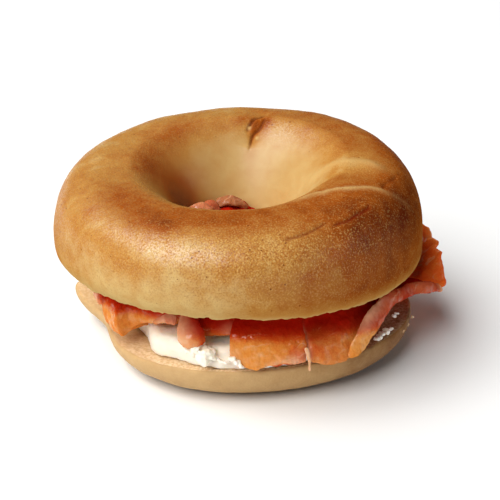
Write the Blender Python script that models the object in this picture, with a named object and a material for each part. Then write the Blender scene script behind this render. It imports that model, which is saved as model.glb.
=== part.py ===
# Bagel sandwich: two bagel halves with cream cheese and smoked salmon between them.
# Metres, +Z up. The front of the sandwich looks towards -Y and the base rests on z = 0.

import math

import bmesh
import bpy
from mathutils import Vector
from mathutils import noise

# Top half of the bagel, measured from the centre of its hole.
TOP_RADIUS = 0.0549
TOP_WAVES = ((1, -0.008, 0.004), (2, 0.007, 0.012), (3, 0.002, 0.016))
# Places where the outline swells: angle and spread in degrees, reach.
TOP_SWELLS = ((0.0, 24.0, 0.0007),)
TOP_CREST_SHARE = 0.595
TOP_CREST_HEIGHT = 0.0583
TOP_CREST_SLOPE = (0.038, 0.084)
TOP_FRONT_RISE = 0.0015
TOP_FRONT_ANGLE = -90.0
TOP_FRONT_SPREAD = 50.0
TOP_CUT_HEIGHT = 0.0255
TOP_CUT_SLOPE = (-0.044, -0.110)
TOP_CUT_BEND = 0.65
TOP_BELLY_RISE = 0.0077
TOP_BELLY_DEPTH = 0.0058
TOP_THROAT_RADIUS = 0.0128
TOP_BELLY_FULLNESS = 2.3
TOP_OUTER_FULLNESS = 2.9
TOP_INNER_FULLNESS = 1.65
TOP_LUMP = 0.0006
TOP_LUMP_SIZE = 0.0200

# The twist in the dough at the right: a trough between two ridges. Each ridge is a row of
# angles, read from TWIST_START to TWIST_END places over the section, where place 1 is the
# widest line outside, 2 the crest and 3 the throat.
TWIST_START = 1.45
TWIST_END = 2.60
TWIST_FAR_RIDGE = (-8.0, -5.0, -2.0, 18.0)
TWIST_NEAR_RIDGE = (-15.0, -27.0, -48.0, -75.0)
TWIST_DEPTH = 0.0013

# The open seam at the back.
SEAM_ANGLE = 76.0
SEAM_DRIFT = 16.0
SEAM_SPREAD = 4.0
SEAM_START = 1.97
SEAM_END = 2.50
SEAM_DEPTH = 0.0022

# Bottom half, which sits a little to the right under the top half.
LOWER_CENTRE = (0.0063, -0.0012)
LOWER_RADIUS = 0.0457
LOWER_WAVES = ((2, 0.011, 0.023), (3, 0.011, -0.026))
LOWER_CUT_HEIGHT = 0.0102
LOWER_CUT_SLOPE = (0.039, -0.055)
LOWER_EDGE_DROP = 0.0010
LOWER_EDGE_INSET = 0.0008
LOWER_FOOT_WIDTH = 0.0150
LOWER_HOLE_RADIUS = 0.0110
LOWER_HOLE_FLARE = 0.0055
LOWER_BULGE_ANGLE = 166.0
LOWER_BULGE_SPREAD = 17.0
LOWER_BULGE_REACH = 0.0150
LOWER_BULGE_RISE = 0.0026
LOWER_SWELL_ANGLE = -166.0
LOWER_SWELL_SPREAD = 13.0
LOWER_SWELL_REACH = 0.0010

# Cream cheese spread on the lower cut face.
CHEESE_INNER_RADIUS = 0.0145
CHEESE_RADIUS = 0.0405
CHEESE_THICKNESS = 0.0066
CHEESE_EDGE_ROUND = 0.0040
CHEESE_LUMP = 0.0009
CHEESE_LUMP_SIZE = 0.0060
# Places where the spread is pushed out: angle, spread in degrees, reach.
CHEESE_TONGUES = ((-104.0, 11.0, 0.0030), (-27.0, 7.0, 0.0040), (165.0, 16.0, 0.0115))
# Places where it is thinner: angle, spread in degrees, share of the thickness.
CHEESE_THIN_PLACES = ((0.0, 60.0, 0.30), (90.0, 60.0, 0.15))

# Smoked salmon slices.
SLICE_INNER_RADIUS = 0.0165
SLICE_MIDDLE_RADIUS = 0.0300
SLICE_EDGE_TAPER = 0.45
SLICE_EDGE_POWER = 6
SLICE_RIPPLE = 0.0007
SLICE_RIPPLE_SIZE = 0.0110

PIECE_GAP = 0.0004

# Salmon fold that stands up in the hole.
FOLD_BASE_HEIGHT = 0.0180
FOLD_TOP_HEIGHT = 0.0440
FOLD_FOOT = (0.0025, -0.0008)
FOLD_LEAN = (-0.0060, 0.0100)
FOLD_RADIUS = (0.0118, 0.0112)
FOLD_WIDENING = 0.25
FOLD_BLUNTNESS = 0.60
FOLD_CREASES = 2.5
FOLD_CREASE_TWIST = 4.0
FOLD_CREASE_DEPTH = 0.0012

# Facets round each ring; the cheese matches the bread that it lies on.
TOP_FACETS = 76
LOWER_FACETS = 72
FOLD_FACETS = 22
FOLD_RINGS = 14

# Section steps of the top half: cut face, belly, outer shoulder, inner wall.
TOP_STEPS = (5, 3, 7, 8)
# Section steps of the bottom half: base, foot, cut edge, cut face, hole wall.
LOWER_STEPS = (3, 6, 1, 5, 4)
# Section steps of the cheese: underside, outer edge, upper side, inner edge.
CHEESE_STEPS = (4, 3, 2, 1)

# Edges that turn by more degrees than this are shaded sharp.
SHARP_ANGLE = 50.0

FULL_TURN = 2.0 * math.pi
QUARTER_TURN = 0.5 * math.pi


def outline_radius(angle, radius, waves):
    share = 1.0
    for count, cosine, sine in waves:
        share += cosine * math.cos(count * angle) + sine * math.sin(count * angle)
    return radius * share


def nearness(angle, centre_degrees, spread_degrees):
    offset = angle - math.radians(centre_degrees)
    offset = (offset + math.pi) % FULL_TURN - math.pi
    return math.exp(-((offset / math.radians(spread_degrees)) ** 2))


def mix(start, end, share):
    return start + (end - start) * share


def smooth_values(values, share):
    # A smooth curve through evenly spaced values, read at a share of its length.
    last = len(values) - 1
    place = min(max(share, 0.0), 1.0) * last
    index = min(int(place), last - 1)
    t = place - index
    before = values[max(index - 1, 0)]
    start = values[index]
    end = values[index + 1]
    after = values[min(index + 2, last)]
    curve = 2.0 * start + (end - before) * t
    curve += (2.0 * before - 5.0 * start + 4.0 * end - after) * t ** 2
    curve += (3.0 * start - before - 3.0 * end + after) * t ** 3
    return 0.5 * curve


def arc_step(step, counts):
    # The arc of a section that a step belongs to, and the share of the way along it.
    for arc, count in enumerate(counts):
        if step < count:
            return arc, step / count
        step -= count
    return 0, 0.0


def top_cut_height(x, y):
    slope_x, slope_y = TOP_CUT_SLOPE
    return TOP_CUT_HEIGHT + slope_x * x + slope_y * y + TOP_CUT_BEND * y * y


def top_crest_height(x, y):
    slope_x, slope_y = TOP_CREST_SLOPE
    rise = TOP_FRONT_RISE * nearness(math.atan2(y, x), TOP_FRONT_ANGLE, TOP_FRONT_SPREAD)
    return TOP_CREST_HEIGHT + slope_x * x + slope_y * y + rise


def top_rim_radius(angle):
    radius = outline_radius(angle, TOP_RADIUS, TOP_WAVES)
    for centre, spread, reach in TOP_SWELLS:
        radius += reach * nearness(angle, centre, spread)
    return radius


def lower_cut_height(x, y):
    slope_x, slope_y = LOWER_CUT_SLOPE
    level = LOWER_CUT_HEIGHT + slope_x * x + slope_y * y
    from_centre = Vector((x - LOWER_CENTRE[0], y - LOWER_CENTRE[1]))
    angle = math.atan2(from_centre.y, from_centre.x)
    lift = LOWER_BULGE_RISE * nearness(angle, LOWER_BULGE_ANGLE, LOWER_BULGE_SPREAD)
    return level + lift * (from_centre.length / LOWER_RADIUS) ** 2


def lower_rim_radius(angle):
    bulge = LOWER_BULGE_REACH * nearness(angle, LOWER_BULGE_ANGLE, LOWER_BULGE_SPREAD)
    swell = LOWER_SWELL_REACH * nearness(angle, LOWER_SWELL_ANGLE, LOWER_SWELL_SPREAD)
    return outline_radius(angle, LOWER_RADIUS, LOWER_WAVES) + bulge + swell


def cheese_radius(angle):
    radius = CHEESE_RADIUS
    for centre, spread, reach in CHEESE_TONGUES:
        radius += reach * nearness(angle, centre, spread)
    return radius


def cheese_thickness(angle):
    kept = 1.0
    for centre, spread, share in CHEESE_THIN_PLACES:
        kept -= share * nearness(angle, centre, spread)
    return CHEESE_THICKNESS * kept


def throat_radius(angle, height):
    # Radius of the hole's wall in the top half at a height above its cut face.
    crest_radius = TOP_CREST_SHARE * top_rim_radius(angle)
    x = crest_radius * math.cos(angle)
    y = crest_radius * math.sin(angle)
    crest = top_crest_height(x, y)
    foot = top_cut_height(TOP_THROAT_RADIUS * math.cos(angle), TOP_THROAT_RADIUS * math.sin(angle))
    share = min(max((height - foot) / (crest - foot), 0.0), 1.0)
    inward = (1.0 - share ** TOP_INNER_FULLNESS) ** (1.0 / TOP_INNER_FULLNESS)
    return crest_radius - (crest_radius - TOP_THROAT_RADIUS) * inward


def top_relief(angle, place):
    # How far the crust sinks below its smooth form at a place over the section.
    degrees = math.degrees(angle)
    sunk = 0.0
    share = (place - TWIST_START) / (TWIST_END - TWIST_START)
    if 0.0 < share < 1.0:
        far = smooth_values(TWIST_FAR_RIDGE, share)
        near = smooth_values(TWIST_NEAR_RIDGE, share)
        across = (degrees - 0.5 * (far + near)) / (0.5 * (far - near))
        fade = math.sin(math.pi * share) ** 0.5
        sunk += TWIST_DEPTH * fade * max(0.0, 1.0 - across * across)
    share = (place - SEAM_START) / (SEAM_END - SEAM_START)
    if 0.0 < share < 1.0:
        centre = SEAM_ANGLE + SEAM_DRIFT * (place - 2.0)
        sunk += SEAM_DEPTH * math.sin(math.pi * share) * nearness(angle, centre, SEAM_SPREAD)
    return sunk


def top_point(angle, step):
    outer = top_rim_radius(angle)
    crest_radius = TOP_CREST_SHARE * outer
    edge_radius = outer - TOP_BELLY_DEPTH
    cos_angle = math.cos(angle)
    sin_angle = math.sin(angle)
    edge = top_cut_height(edge_radius * cos_angle, edge_radius * sin_angle)
    foot = top_cut_height(TOP_THROAT_RADIUS * cos_angle, TOP_THROAT_RADIUS * sin_angle)
    crest = top_crest_height(crest_radius * cos_angle, crest_radius * sin_angle)
    belly = edge + TOP_BELLY_RISE
    arc, share = arc_step(step, TOP_STEPS)
    turn = QUARTER_TURN * share
    if arc == 0:
        radius = mix(TOP_THROAT_RADIUS, edge_radius, share)
        height = top_cut_height(radius * cos_angle, radius * sin_angle)
    elif arc == 1:
        power = 2.0 / TOP_BELLY_FULLNESS
        radius = edge_radius + TOP_BELLY_DEPTH * math.sin(turn) ** power
        height = belly - TOP_BELLY_RISE * math.cos(turn) ** power
    elif arc == 2:
        power = 2.0 / TOP_OUTER_FULLNESS
        radius = crest_radius + (outer - crest_radius) * math.cos(turn) ** power
        height = belly + (crest - belly) * math.sin(turn) ** power
    else:
        power = 2.0 / TOP_INNER_FULLNESS
        radius = crest_radius - (crest_radius - TOP_THROAT_RADIUS) * math.sin(turn) ** power
        height = foot + (crest - foot) * math.cos(turn) ** power
    if arc > 0:
        sunk = top_relief(angle, arc - 1 + share)
        from_core = Vector((radius - crest_radius, height - belly))
        surface = Vector((radius * cos_angle, radius * sin_angle, height))
        sunk += TOP_LUMP * (share if arc == 1 else 1.0) * noise.noise(surface / TOP_LUMP_SIZE)
        from_core.normalize()
        radius -= sunk * from_core.x
        height -= sunk * from_core.y
    return radius * cos_angle, radius * sin_angle, height


def lower_point(angle, step):
    rim = lower_rim_radius(angle)
    edge_radius = rim - LOWER_EDGE_INSET
    foot_radius = rim - LOWER_FOOT_WIDTH
    flare_radius = LOWER_HOLE_RADIUS + LOWER_HOLE_FLARE
    cos_angle = math.cos(angle)
    sin_angle = math.sin(angle)
    centre_x, centre_y = LOWER_CENTRE

    def cut_at(radius):
        return lower_cut_height(centre_x + radius * cos_angle, centre_y + radius * sin_angle)

    widest = cut_at(rim) - LOWER_EDGE_DROP
    arc, share = arc_step(step, LOWER_STEPS)
    turn = QUARTER_TURN * share
    if arc == 0:
        radius = mix(flare_radius, foot_radius, share)
        height = 0.0
    elif arc == 1:
        radius = foot_radius + LOWER_FOOT_WIDTH * math.sin(turn)
        height = widest * (1.0 - math.cos(turn))
    elif arc == 2:
        radius = rim
        height = widest
    elif arc == 3:
        radius = mix(edge_radius, LOWER_HOLE_RADIUS, share)
        height = cut_at(radius)
    else:
        radius = flare_radius - LOWER_HOLE_FLARE * math.cos(turn)
        height = cut_at(LOWER_HOLE_RADIUS) * (1.0 - math.sin(turn))
    return centre_x + radius * cos_angle, centre_y + radius * sin_angle, height


def cheese_point(angle, step):
    outer = cheese_radius(angle)
    thickness = cheese_thickness(angle)
    arc, share = arc_step(step, CHEESE_STEPS)
    turn = QUARTER_TURN * share
    if arc == 0:
        radius = mix(CHEESE_INNER_RADIUS, outer, share)
        rise = 0.0
    elif arc == 1:
        radius = outer - CHEESE_EDGE_ROUND * math.sin(turn)
        rise = thickness * share
    elif arc == 2:
        radius = mix(outer - CHEESE_EDGE_ROUND, CHEESE_INNER_RADIUS, share)
        rise = thickness
    else:
        radius = CHEESE_INNER_RADIUS
        rise = thickness
    x = LOWER_CENTRE[0] + radius * math.cos(angle)
    y = LOWER_CENTRE[1] + radius * math.sin(angle)
    lump = noise.noise(Vector((x, y, rise)) / CHEESE_LUMP_SIZE)
    if arc == 1:
        x += CHEESE_LUMP * lump * math.cos(angle)
        y += CHEESE_LUMP * lump * math.sin(angle)
    return x, y, lower_cut_height(x, y) + PIECE_GAP + rise


def ring_from_torus(name, facets, steps, point_at):
    # A torus whose section is reshaped step by step into the section that point_at gives.
    section_facets = sum(steps)
    bpy.ops.mesh.primitive_torus_add(
        major_segments=facets,
        minor_segments=section_facets,
        major_radius=1.0,
        minor_radius=0.25,
    )
    ring = bpy.context.object
    ring.name = name
    for vertex in ring.data.vertices:
        angle = math.atan2(vertex.co.y, vertex.co.x)
        from_middle = math.hypot(vertex.co.x, vertex.co.y) - 1.0
        turn = math.atan2(vertex.co.z, from_middle) % FULL_TURN
        step = round(section_facets * turn / FULL_TURN) % section_facets
        vertex.co = point_at(angle, step)
    return ring


def slice_middle(slice_shape, across, along):
    # Middle of the slice and its thickness: across runs round the ring, along runs outwards.
    start, end = slice_shape["span"]
    angle = math.radians(mix(start, end, across))
    radii = [SLICE_INNER_RADIUS, SLICE_MIDDLE_RADIUS]
    lifts = []
    depths = []
    thickness = cheese_thickness(angle)
    for radius in radii:
        x = LOWER_CENTRE[0] + radius * math.cos(angle)
        y = LOWER_CENTRE[1] + radius * math.sin(angle)
        under = thickness + 2.0 * PIECE_GAP
        over = top_cut_height(x, y) - lower_cut_height(x, y) - PIECE_GAP
        lifts.append(0.5 * (under + over))
        depths.append(slice_shape["fill"] * (over - under))
    for radius, lift, depth in slice_shape["path"]:
        radii.append(smooth_values(radius, across))
        lifts.append(smooth_values(lift, across))
        depths.append(depth)
    radius = smooth_values(radii, along)
    lift = smooth_values(lifts, along)
    depth = smooth_values(depths, along)
    x = LOWER_CENTRE[0] + radius * math.cos(angle)
    y = LOWER_CENTRE[1] + radius * math.sin(angle)
    if math.hypot(x, y) < top_rim_radius(math.atan2(y, x)) - TOP_BELLY_DEPTH:
        room = top_cut_height(x, y) - lower_cut_height(x, y)
        lift = min(lift, room - 0.5 * depth - 2.0 * PIECE_GAP)
    if radius < cheese_radius(angle) + 2.0 * PIECE_GAP:
        lift = max(lift, thickness + 0.5 * depth + 3.0 * PIECE_GAP)
    return angle, radius, lift, depth


def slice_point(slice_shape, across, along, side):
    angle, radius, lift, depth = slice_middle(slice_shape, across, along)
    nudge = 0.01
    before = slice_middle(slice_shape, across, along - nudge)
    after = slice_middle(slice_shape, across, along + nudge)
    run = after[1] - before[1]
    rise = after[2] - before[2]
    length = math.hypot(run, rise) or 1.0
    edge = max(abs(2.0 * across - 1.0), abs(2.0 * along - 1.0))
    depth *= 1.0 - SLICE_EDGE_TAPER * edge ** SLICE_EDGE_POWER
    ripple = SLICE_RIPPLE * along ** 2
    ripple *= noise.noise(Vector((radius, radius * angle, 0.0)) / SLICE_RIPPLE_SIZE)
    offset = 0.5 * side * depth + ripple
    radius -= offset * rise / length
    lift += offset * run / length
    x = LOWER_CENTRE[0] + radius * math.cos(angle)
    y = LOWER_CENTRE[1] + radius * math.sin(angle)
    return x, y, lower_cut_height(x, y) + lift


def salmon_slice(name, slice_shape):
    # A flat plate of one cell's thickness, bent into the folded slice.
    across_cells, along_cells = slice_shape["cells"]
    mesh = bpy.data.meshes.new(name)
    plate = bmesh.new()
    bmesh.ops.create_grid(plate, x_segments=across_cells, y_segments=along_cells, size=0.5)
    bmesh.ops.solidify(plate, geom=plate.faces[:], thickness=1.0)
    upper = max(vertex.co.z for vertex in plate.verts)
    lower = min(vertex.co.z for vertex in plate.verts)
    for vertex in plate.verts:
        across = vertex.co.x + 0.5
        along = vertex.co.y + 0.5
        side = 2.0 * (vertex.co.z - lower) / (upper - lower) - 1.0
        vertex.co = slice_point(slice_shape, across, along, side)
    if plate.calc_volume(signed=True) < 0.0:
        bmesh.ops.reverse_faces(plate, faces=plate.faces[:])
    plate.to_mesh(mesh)
    plate.free()
    salmon = bpy.data.objects.new(name, mesh)
    bpy.context.collection.objects.link(salmon)
    return salmon


def salmon_fold(name):
    # A standing fold in the hole, kept clear of the funnel wall round it.
    bpy.ops.mesh.primitive_uv_sphere_add(segments=FOLD_FACETS, ring_count=FOLD_RINGS, radius=1.0)
    fold = bpy.context.object
    fold.name = name
    middle = 0.5 * (FOLD_BASE_HEIGHT + FOLD_TOP_HEIGHT)
    reach = 0.5 * (FOLD_TOP_HEIGHT - FOLD_BASE_HEIGHT)
    for vertex in fold.data.vertices:
        level = math.copysign(abs(vertex.co.z) ** FOLD_BLUNTNESS, vertex.co.z)
        height = middle + reach * level
        share = 0.5 * (level + 1.0)
        wider = 1.0 + FOLD_WIDENING * share ** 3
        x = FOLD_FOOT[0] + FOLD_RADIUS[0] * wider * vertex.co.x + FOLD_LEAN[0] * share ** 3
        y = FOLD_FOOT[1] + FOLD_RADIUS[1] * wider * vertex.co.y + FOLD_LEAN[1] * share ** 3
        turn = FOLD_CREASES * math.pi * x / FOLD_RADIUS[0] + FOLD_CREASE_TWIST * y / FOLD_RADIUS[1]
        height -= FOLD_CREASE_DEPTH * share * (1.0 - math.cos(turn))
        angle = math.atan2(y, x)
        radius = min(math.hypot(x, y), throat_radius(angle, height) - 2.0 * PIECE_GAP)
        vertex.co = (radius * math.cos(angle), radius * math.sin(angle), height)
    return fold


# Each slice: its span round the ring in degrees, its cells across and along, the share of the
# height between cheese and bread that it fills, and its path past the middle radius. A path
# row is the shoulder, the ridge or the lip: radii, lifts above the lower cut face, thickness.
SALMON_SLICES = {
    "salmon_left": {
        "span": (-171.0, -131.0),
        "cells": (12, 10),
        "fill": 0.85,
        "path": (
            ((0.0400, 0.0385, 0.0370, 0.0355), (0.0158, 0.0160, 0.0160, 0.0160), 0.0050),
            ((0.0470, 0.0440, 0.0408, 0.0385), (0.0100, 0.0096, 0.0098, 0.0104), 0.0032),
            ((0.0503, 0.0465, 0.0430, 0.0402), (0.0020, 0.0018, 0.0056, 0.0094), 0.0024),
        ),
    },
    "salmon_roll": {
        "span": (-122.5, -109.8),
        "cells": (6, 10),
        "fill": 0.80,
        "path": (
            ((0.0370, 0.0370), (0.0162, 0.0162), 0.0060),
            ((0.0430, 0.0430), (0.0120, 0.0120), 0.0052),
            ((0.0450, 0.0450), (0.0060, 0.0060), 0.0046),
        ),
    },
    "salmon_front": {
        "span": (-108.6, -72.6),
        "cells": (12, 10),
        "fill": 0.85,
        "path": (
            ((0.0340, 0.0380, 0.0385, 0.0385), (0.0156, 0.0156, 0.0156, 0.0156), 0.0050),
            ((0.0362, 0.0432, 0.0430, 0.0425), (0.0112, 0.0103, 0.0103, 0.0098), 0.0032),
            ((0.0372, 0.0456, 0.0456, 0.0452), (0.0104, 0.0024, 0.0024, 0.0026), 0.0026),
        ),
    },
    "salmon_right": {
        "span": (-71.6, -5.0),
        "cells": (18, 10),
        "fill": 0.85,
        "path": (
            ((0.0375, 0.0375, 0.0370, 0.0380, 0.0420), (0.0156, 0.0146, 0.0124, 0.0100, 0.0078), 0.0046),
            ((0.0420, 0.0420, 0.0400, 0.0410, 0.0490), (0.0098, 0.0088, 0.0096, 0.0096, 0.0072), 0.0032),
            ((0.0455, 0.0458, 0.0432, 0.0440, 0.0560), (0.0022, 0.0018, 0.0060, 0.0084, 0.0054), 0.0026),
        ),
    },
    "salmon_flap": {
        "span": (-4.4, 32.0),
        "cells": (11, 10),
        "fill": 0.70,
        "path": (
            ((0.0420, 0.0415, 0.0410), (0.0066, 0.0066, 0.0066), 0.0026),
            ((0.0510, 0.0510, 0.0512, 0.0518), (0.0066, 0.0073, 0.0080, 0.0084), 0.0022),
            ((0.0572, 0.0568, 0.0562, 0.0568), (0.0060, 0.0134, 0.0171, 0.0174), 0.0022),
        ),
    },
    "salmon_rear": {
        "span": (33.6, 106.0),
        "cells": (16, 9),
        "fill": 0.85,
        "path": (
            ((0.0380, 0.0375, 0.0385), (0.0120, 0.0120, 0.0120), 0.0044),
            ((0.0440, 0.0420, 0.0430), (0.0075, 0.0075, 0.0075), 0.0030),
            ((0.0475, 0.0450, 0.0470), (0.0026, 0.0014, 0.0026), 0.0024),
        ),
    },
    "salmon_rear_left": {
        "span": (107.4, 187.5),
        "cells": (16, 9),
        "fill": 0.85,
        "path": (
            ((0.0380, 0.0380, 0.0390), (0.0140, 0.0140, 0.0140), 0.0048),
            ((0.0430, 0.0420, 0.0440), (0.0090, 0.0080, 0.0085), 0.0032),
            ((0.0465, 0.0440, 0.0470), (0.0040, 0.0045, 0.0030), 0.0024),
        ),
    },
}

# Finishes: colour, roughness and metallic value.
FINISHES = {
    "golden_crust": ((0.56, 0.27, 0.07), 0.42, 0.0),
    "pale_crust": ((0.66, 0.41, 0.17), 0.55, 0.0),
    "cream_cheese": ((0.93, 0.86, 0.73), 0.50, 0.0),
    "smoked_salmon": ((0.66, 0.13, 0.04), 0.30, 0.0),
}


def make_material(name):
    colour, roughness, metallic = FINISHES[name]
    material = bpy.data.materials.new(name)
    material.use_nodes = True
    shader = material.node_tree.nodes["Principled BSDF"]
    shader.inputs["Base Color"].default_value = (*colour, 1.0)
    shader.inputs["Roughness"].default_value = roughness
    shader.inputs["Metallic"].default_value = metallic
    return material


def clear_scene():
    for item in list(bpy.data.objects):
        bpy.data.objects.remove(item, do_unlink=True)


def finish_piece(piece, finish, collection, parent):
    material = bpy.data.materials.get(finish) or make_material(finish)
    piece.data.materials.append(material)
    piece.data.shade_smooth()
    piece.data.set_sharp_from_angle(angle=math.radians(SHARP_ANGLE))
    for holder in list(piece.users_collection):
        holder.objects.unlink(piece)
    collection.objects.link(piece)
    piece.parent = parent


def centre_on_base(parent, pieces):
    # Moves the parent so that the sandwich stands centred on the origin.
    corners = [vertex.co for piece in pieces for vertex in piece.data.vertices]
    low_x = min(corner.x for corner in corners)
    high_x = max(corner.x for corner in corners)
    low_y = min(corner.y for corner in corners)
    high_y = max(corner.y for corner in corners)
    parent.location = (-0.5 * (low_x + high_x), -0.5 * (low_y + high_y), 0.0)


def build_sandwich():
    clear_scene()
    collection = bpy.data.collections.new("bagel_sandwich")
    bpy.context.scene.collection.children.link(collection)
    parent = bpy.data.objects.new("sandwich_centre", None)
    collection.objects.link(parent)

    top = ring_from_torus("bagel_top", TOP_FACETS, TOP_STEPS, top_point)
    lower = ring_from_torus("bagel_bottom", LOWER_FACETS, LOWER_STEPS, lower_point)
    cheese = ring_from_torus("cream_cheese", LOWER_FACETS, CHEESE_STEPS, cheese_point)
    finish_piece(top, "golden_crust", collection, parent)
    finish_piece(lower, "pale_crust", collection, parent)
    finish_piece(cheese, "cream_cheese", collection, parent)

    pieces = [top, lower, cheese]
    for name, slice_shape in SALMON_SLICES.items():
        pieces.append(salmon_slice(name, slice_shape))
        finish_piece(pieces[-1], "smoked_salmon", collection, parent)
    pieces.append(salmon_fold("salmon_fold"))
    finish_piece(pieces[-1], "smoked_salmon", collection, parent)
    centre_on_base(parent, pieces)


build_sandwich()
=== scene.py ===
import math
import random

import bmesh
import bpy
import numpy as np
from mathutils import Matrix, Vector, noise


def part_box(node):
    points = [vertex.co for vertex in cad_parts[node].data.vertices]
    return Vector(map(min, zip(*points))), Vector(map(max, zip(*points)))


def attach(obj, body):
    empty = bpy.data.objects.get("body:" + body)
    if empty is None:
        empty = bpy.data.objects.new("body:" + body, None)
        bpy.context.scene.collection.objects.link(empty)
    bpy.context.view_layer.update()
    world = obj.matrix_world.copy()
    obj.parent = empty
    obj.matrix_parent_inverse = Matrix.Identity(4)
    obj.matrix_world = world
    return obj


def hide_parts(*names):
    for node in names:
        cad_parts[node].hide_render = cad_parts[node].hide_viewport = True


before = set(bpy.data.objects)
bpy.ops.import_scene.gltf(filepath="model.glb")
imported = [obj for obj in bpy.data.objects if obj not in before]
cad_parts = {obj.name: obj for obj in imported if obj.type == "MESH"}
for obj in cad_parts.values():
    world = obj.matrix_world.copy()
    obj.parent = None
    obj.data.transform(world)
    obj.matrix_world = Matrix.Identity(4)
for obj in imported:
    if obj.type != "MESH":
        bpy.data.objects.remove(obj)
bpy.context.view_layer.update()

mm = 0.001
fullTurn = 2.0 * math.pi
quarterTurn = 0.5 * math.pi
print("bagel sandwich: frame loaded, nodes", len(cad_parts))


def linear(red, green, blue):
    # display colour from 0 to 255, as the linear light that shaders use
    values = []
    for value in (red, green, blue):
        share = value / 255.0
        values.append(share / 12.92 if share < 0.04045 else ((share + 0.055) / 1.055) ** 2.4)
    return (*values, 1.0)


def bell(value, middle, spread):
    # 1 at the middle, falling to 0 away from it
    return np.exp(-(((value - middle) / spread) ** 2))


def nearness(angle, centre, spread):
    # a bell round the circle: angle in radians, centre and spread in degrees
    offset = (angle - math.radians(centre) + math.pi) % fullTurn - math.pi
    return bell(offset, 0.0, math.radians(spread))


def smoothStep(value, low, high):
    share = np.clip((value - low) / (high - low), 0.0, 1.0)
    return share * share * (3.0 - 2.0 * share)


def betweenPoints(before, start, end, after, t):
    # smooth way from start to end as t goes from 0 to 1, bent by the points on either side
    curve = 2.0 * start + (end - before) * t
    curve = curve + (2.0 * before - 5.0 * start + 4.0 * end - after) * t ** 2
    return 0.5 * (curve + (3.0 * start - before - 3.0 * end + after) * t ** 3)


def curveThrough(rows, shares):
    # smooth curve through rows of numbers, read at shares of its length
    rows = np.array(rows, float)
    last = len(rows) - 1
    place = np.clip(np.asarray(shares, float), 0.0, 1.0) * last
    index = np.minimum(place.astype(int), last - 1)
    near = [rows[np.clip(index + shift, 0, last)] for shift in (-1, 0, 1, 2)]
    return betweenPoints(*near, (place - index)[:, None])


def atPoints(measure, points, size, seed):
    scaled = points.reshape(-1, 3) / size + seed
    return np.array([measure(point) for point in scaled.tolist()]).reshape(points.shape[:-1])


def noiseAt(points, size, seed=0.0):
    # smooth noise from about -1 to 1 with bumps of this size
    return atPoints(noise.noise, points, size, seed)


def poresAt(points, size, seed):
    # 1 at the middle of each pore, falling to 0 at its rim
    away = atPoints(lambda point: noise.voronoi(point)[0][0], points, size, seed)
    return np.clip(1.0 - 2.2 * away, 0.0, 1.0)


def distanceToLine(points, line):
    # shortest distance to a line of points, and the share of the line where it is met
    best = np.full(points.shape[:-1], 1e9)
    along = np.zeros(points.shape[:-1])
    for index, (start, end) in enumerate(zip(line[:-1], line[1:])):
        run = end - start
        share = np.clip(((points - start) @ run) / (run @ run), 0.0, 1.0)
        away = np.linalg.norm(points - start - share[..., None] * run, axis=-1)
        along = np.where(away < best, (index + share) / (len(line) - 1), along)
        best = np.minimum(best, away)
    return best, along


def unit(vectors):
    return vectors / np.maximum(np.linalg.norm(vectors, axis=-1, keepdims=True), 1e-12)


def overNeighbours(grid, axis):
    # from the row before to the row after, in a direction that closes on itself
    return np.roll(grid, -1, axis=axis) - np.roll(grid, 1, axis=axis)


def gridNormals(grid, closed=True):
    # outward normals of a grid of sections, in a ring or with two ends
    alongGrid = overNeighbours(grid, 0) if closed else np.gradient(grid, axis=0)
    return unit(np.cross(alongGrid, overNeighbours(grid, 1)))


def overSection(steps, arcs):
    # radii and heights over a section's arcs, and each step's place, counted in arcs
    rows = []
    places = []
    for arc, (count, shape) in enumerate(zip(steps, arcs)):
        for share in np.linspace(0.0, 1.0, count, endpoint=False):
            turn = quarterTurn * share
            rows.append(shape(share, math.sin(turn), math.cos(turn)))
            places.append(arc + share)
    radii, heights = np.moveaxis(np.array(rows), 0, -1)
    return radii, heights, np.array(places)


def placed(name, data):
    made = bpy.data.objects.new(name, data)
    bpy.context.scene.collection.objects.link(made)
    return made


def finalMesh(piece):
    # the mesh that the piece's modifiers give; the piece itself goes
    shown = piece.evaluated_get(bpy.context.evaluated_depsgraph_get())
    mesh = bpy.data.meshes.new_from_object(shown)
    bpy.data.objects.remove(piece)
    return mesh


def vertexValues(mesh, collection, field):
    values = np.zeros(len(mesh.vertices) * 3)
    getattr(mesh, collection).foreach_get(field, values)
    return values.reshape(-1, 3)


def ringPiece(name, grid, masks):
    # closed quad mesh over a ring grid, with one named value a vertex for each mask
    turns, steps = grid.shape[:2]
    ring = np.arange(turns * steps).reshape(turns, steps)
    nextTurn = np.roll(ring, -1, axis=0)
    corners = (ring, nextTurn, np.roll(nextTurn, -1, axis=1), np.roll(ring, -1, axis=1))
    faces = np.stack([corner.ravel() for corner in corners], axis=1)
    mesh = bpy.data.meshes.new(name)
    mesh.from_pydata(grid.reshape(-1, 3).tolist(), [], faces.tolist())
    return finishPiece(name, mesh, masks)


def finishPiece(name, mesh, masks):
    for mask, values in masks.items():
        attribute = mesh.attributes.new(mask, "FLOAT", "POINT")
        attribute.data.foreach_set("value", np.asarray(values, np.float32).ravel())
    mesh.shade_smooth()
    return placed(name, mesh)


def settle(piece, material, slot, *nodes):
    # gives a piece its finish and its place in the frame
    piece.data.materials.clear()
    piece.data.materials.append(material)
    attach(piece, "root")
    if nodes:
        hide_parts(*nodes)


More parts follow.
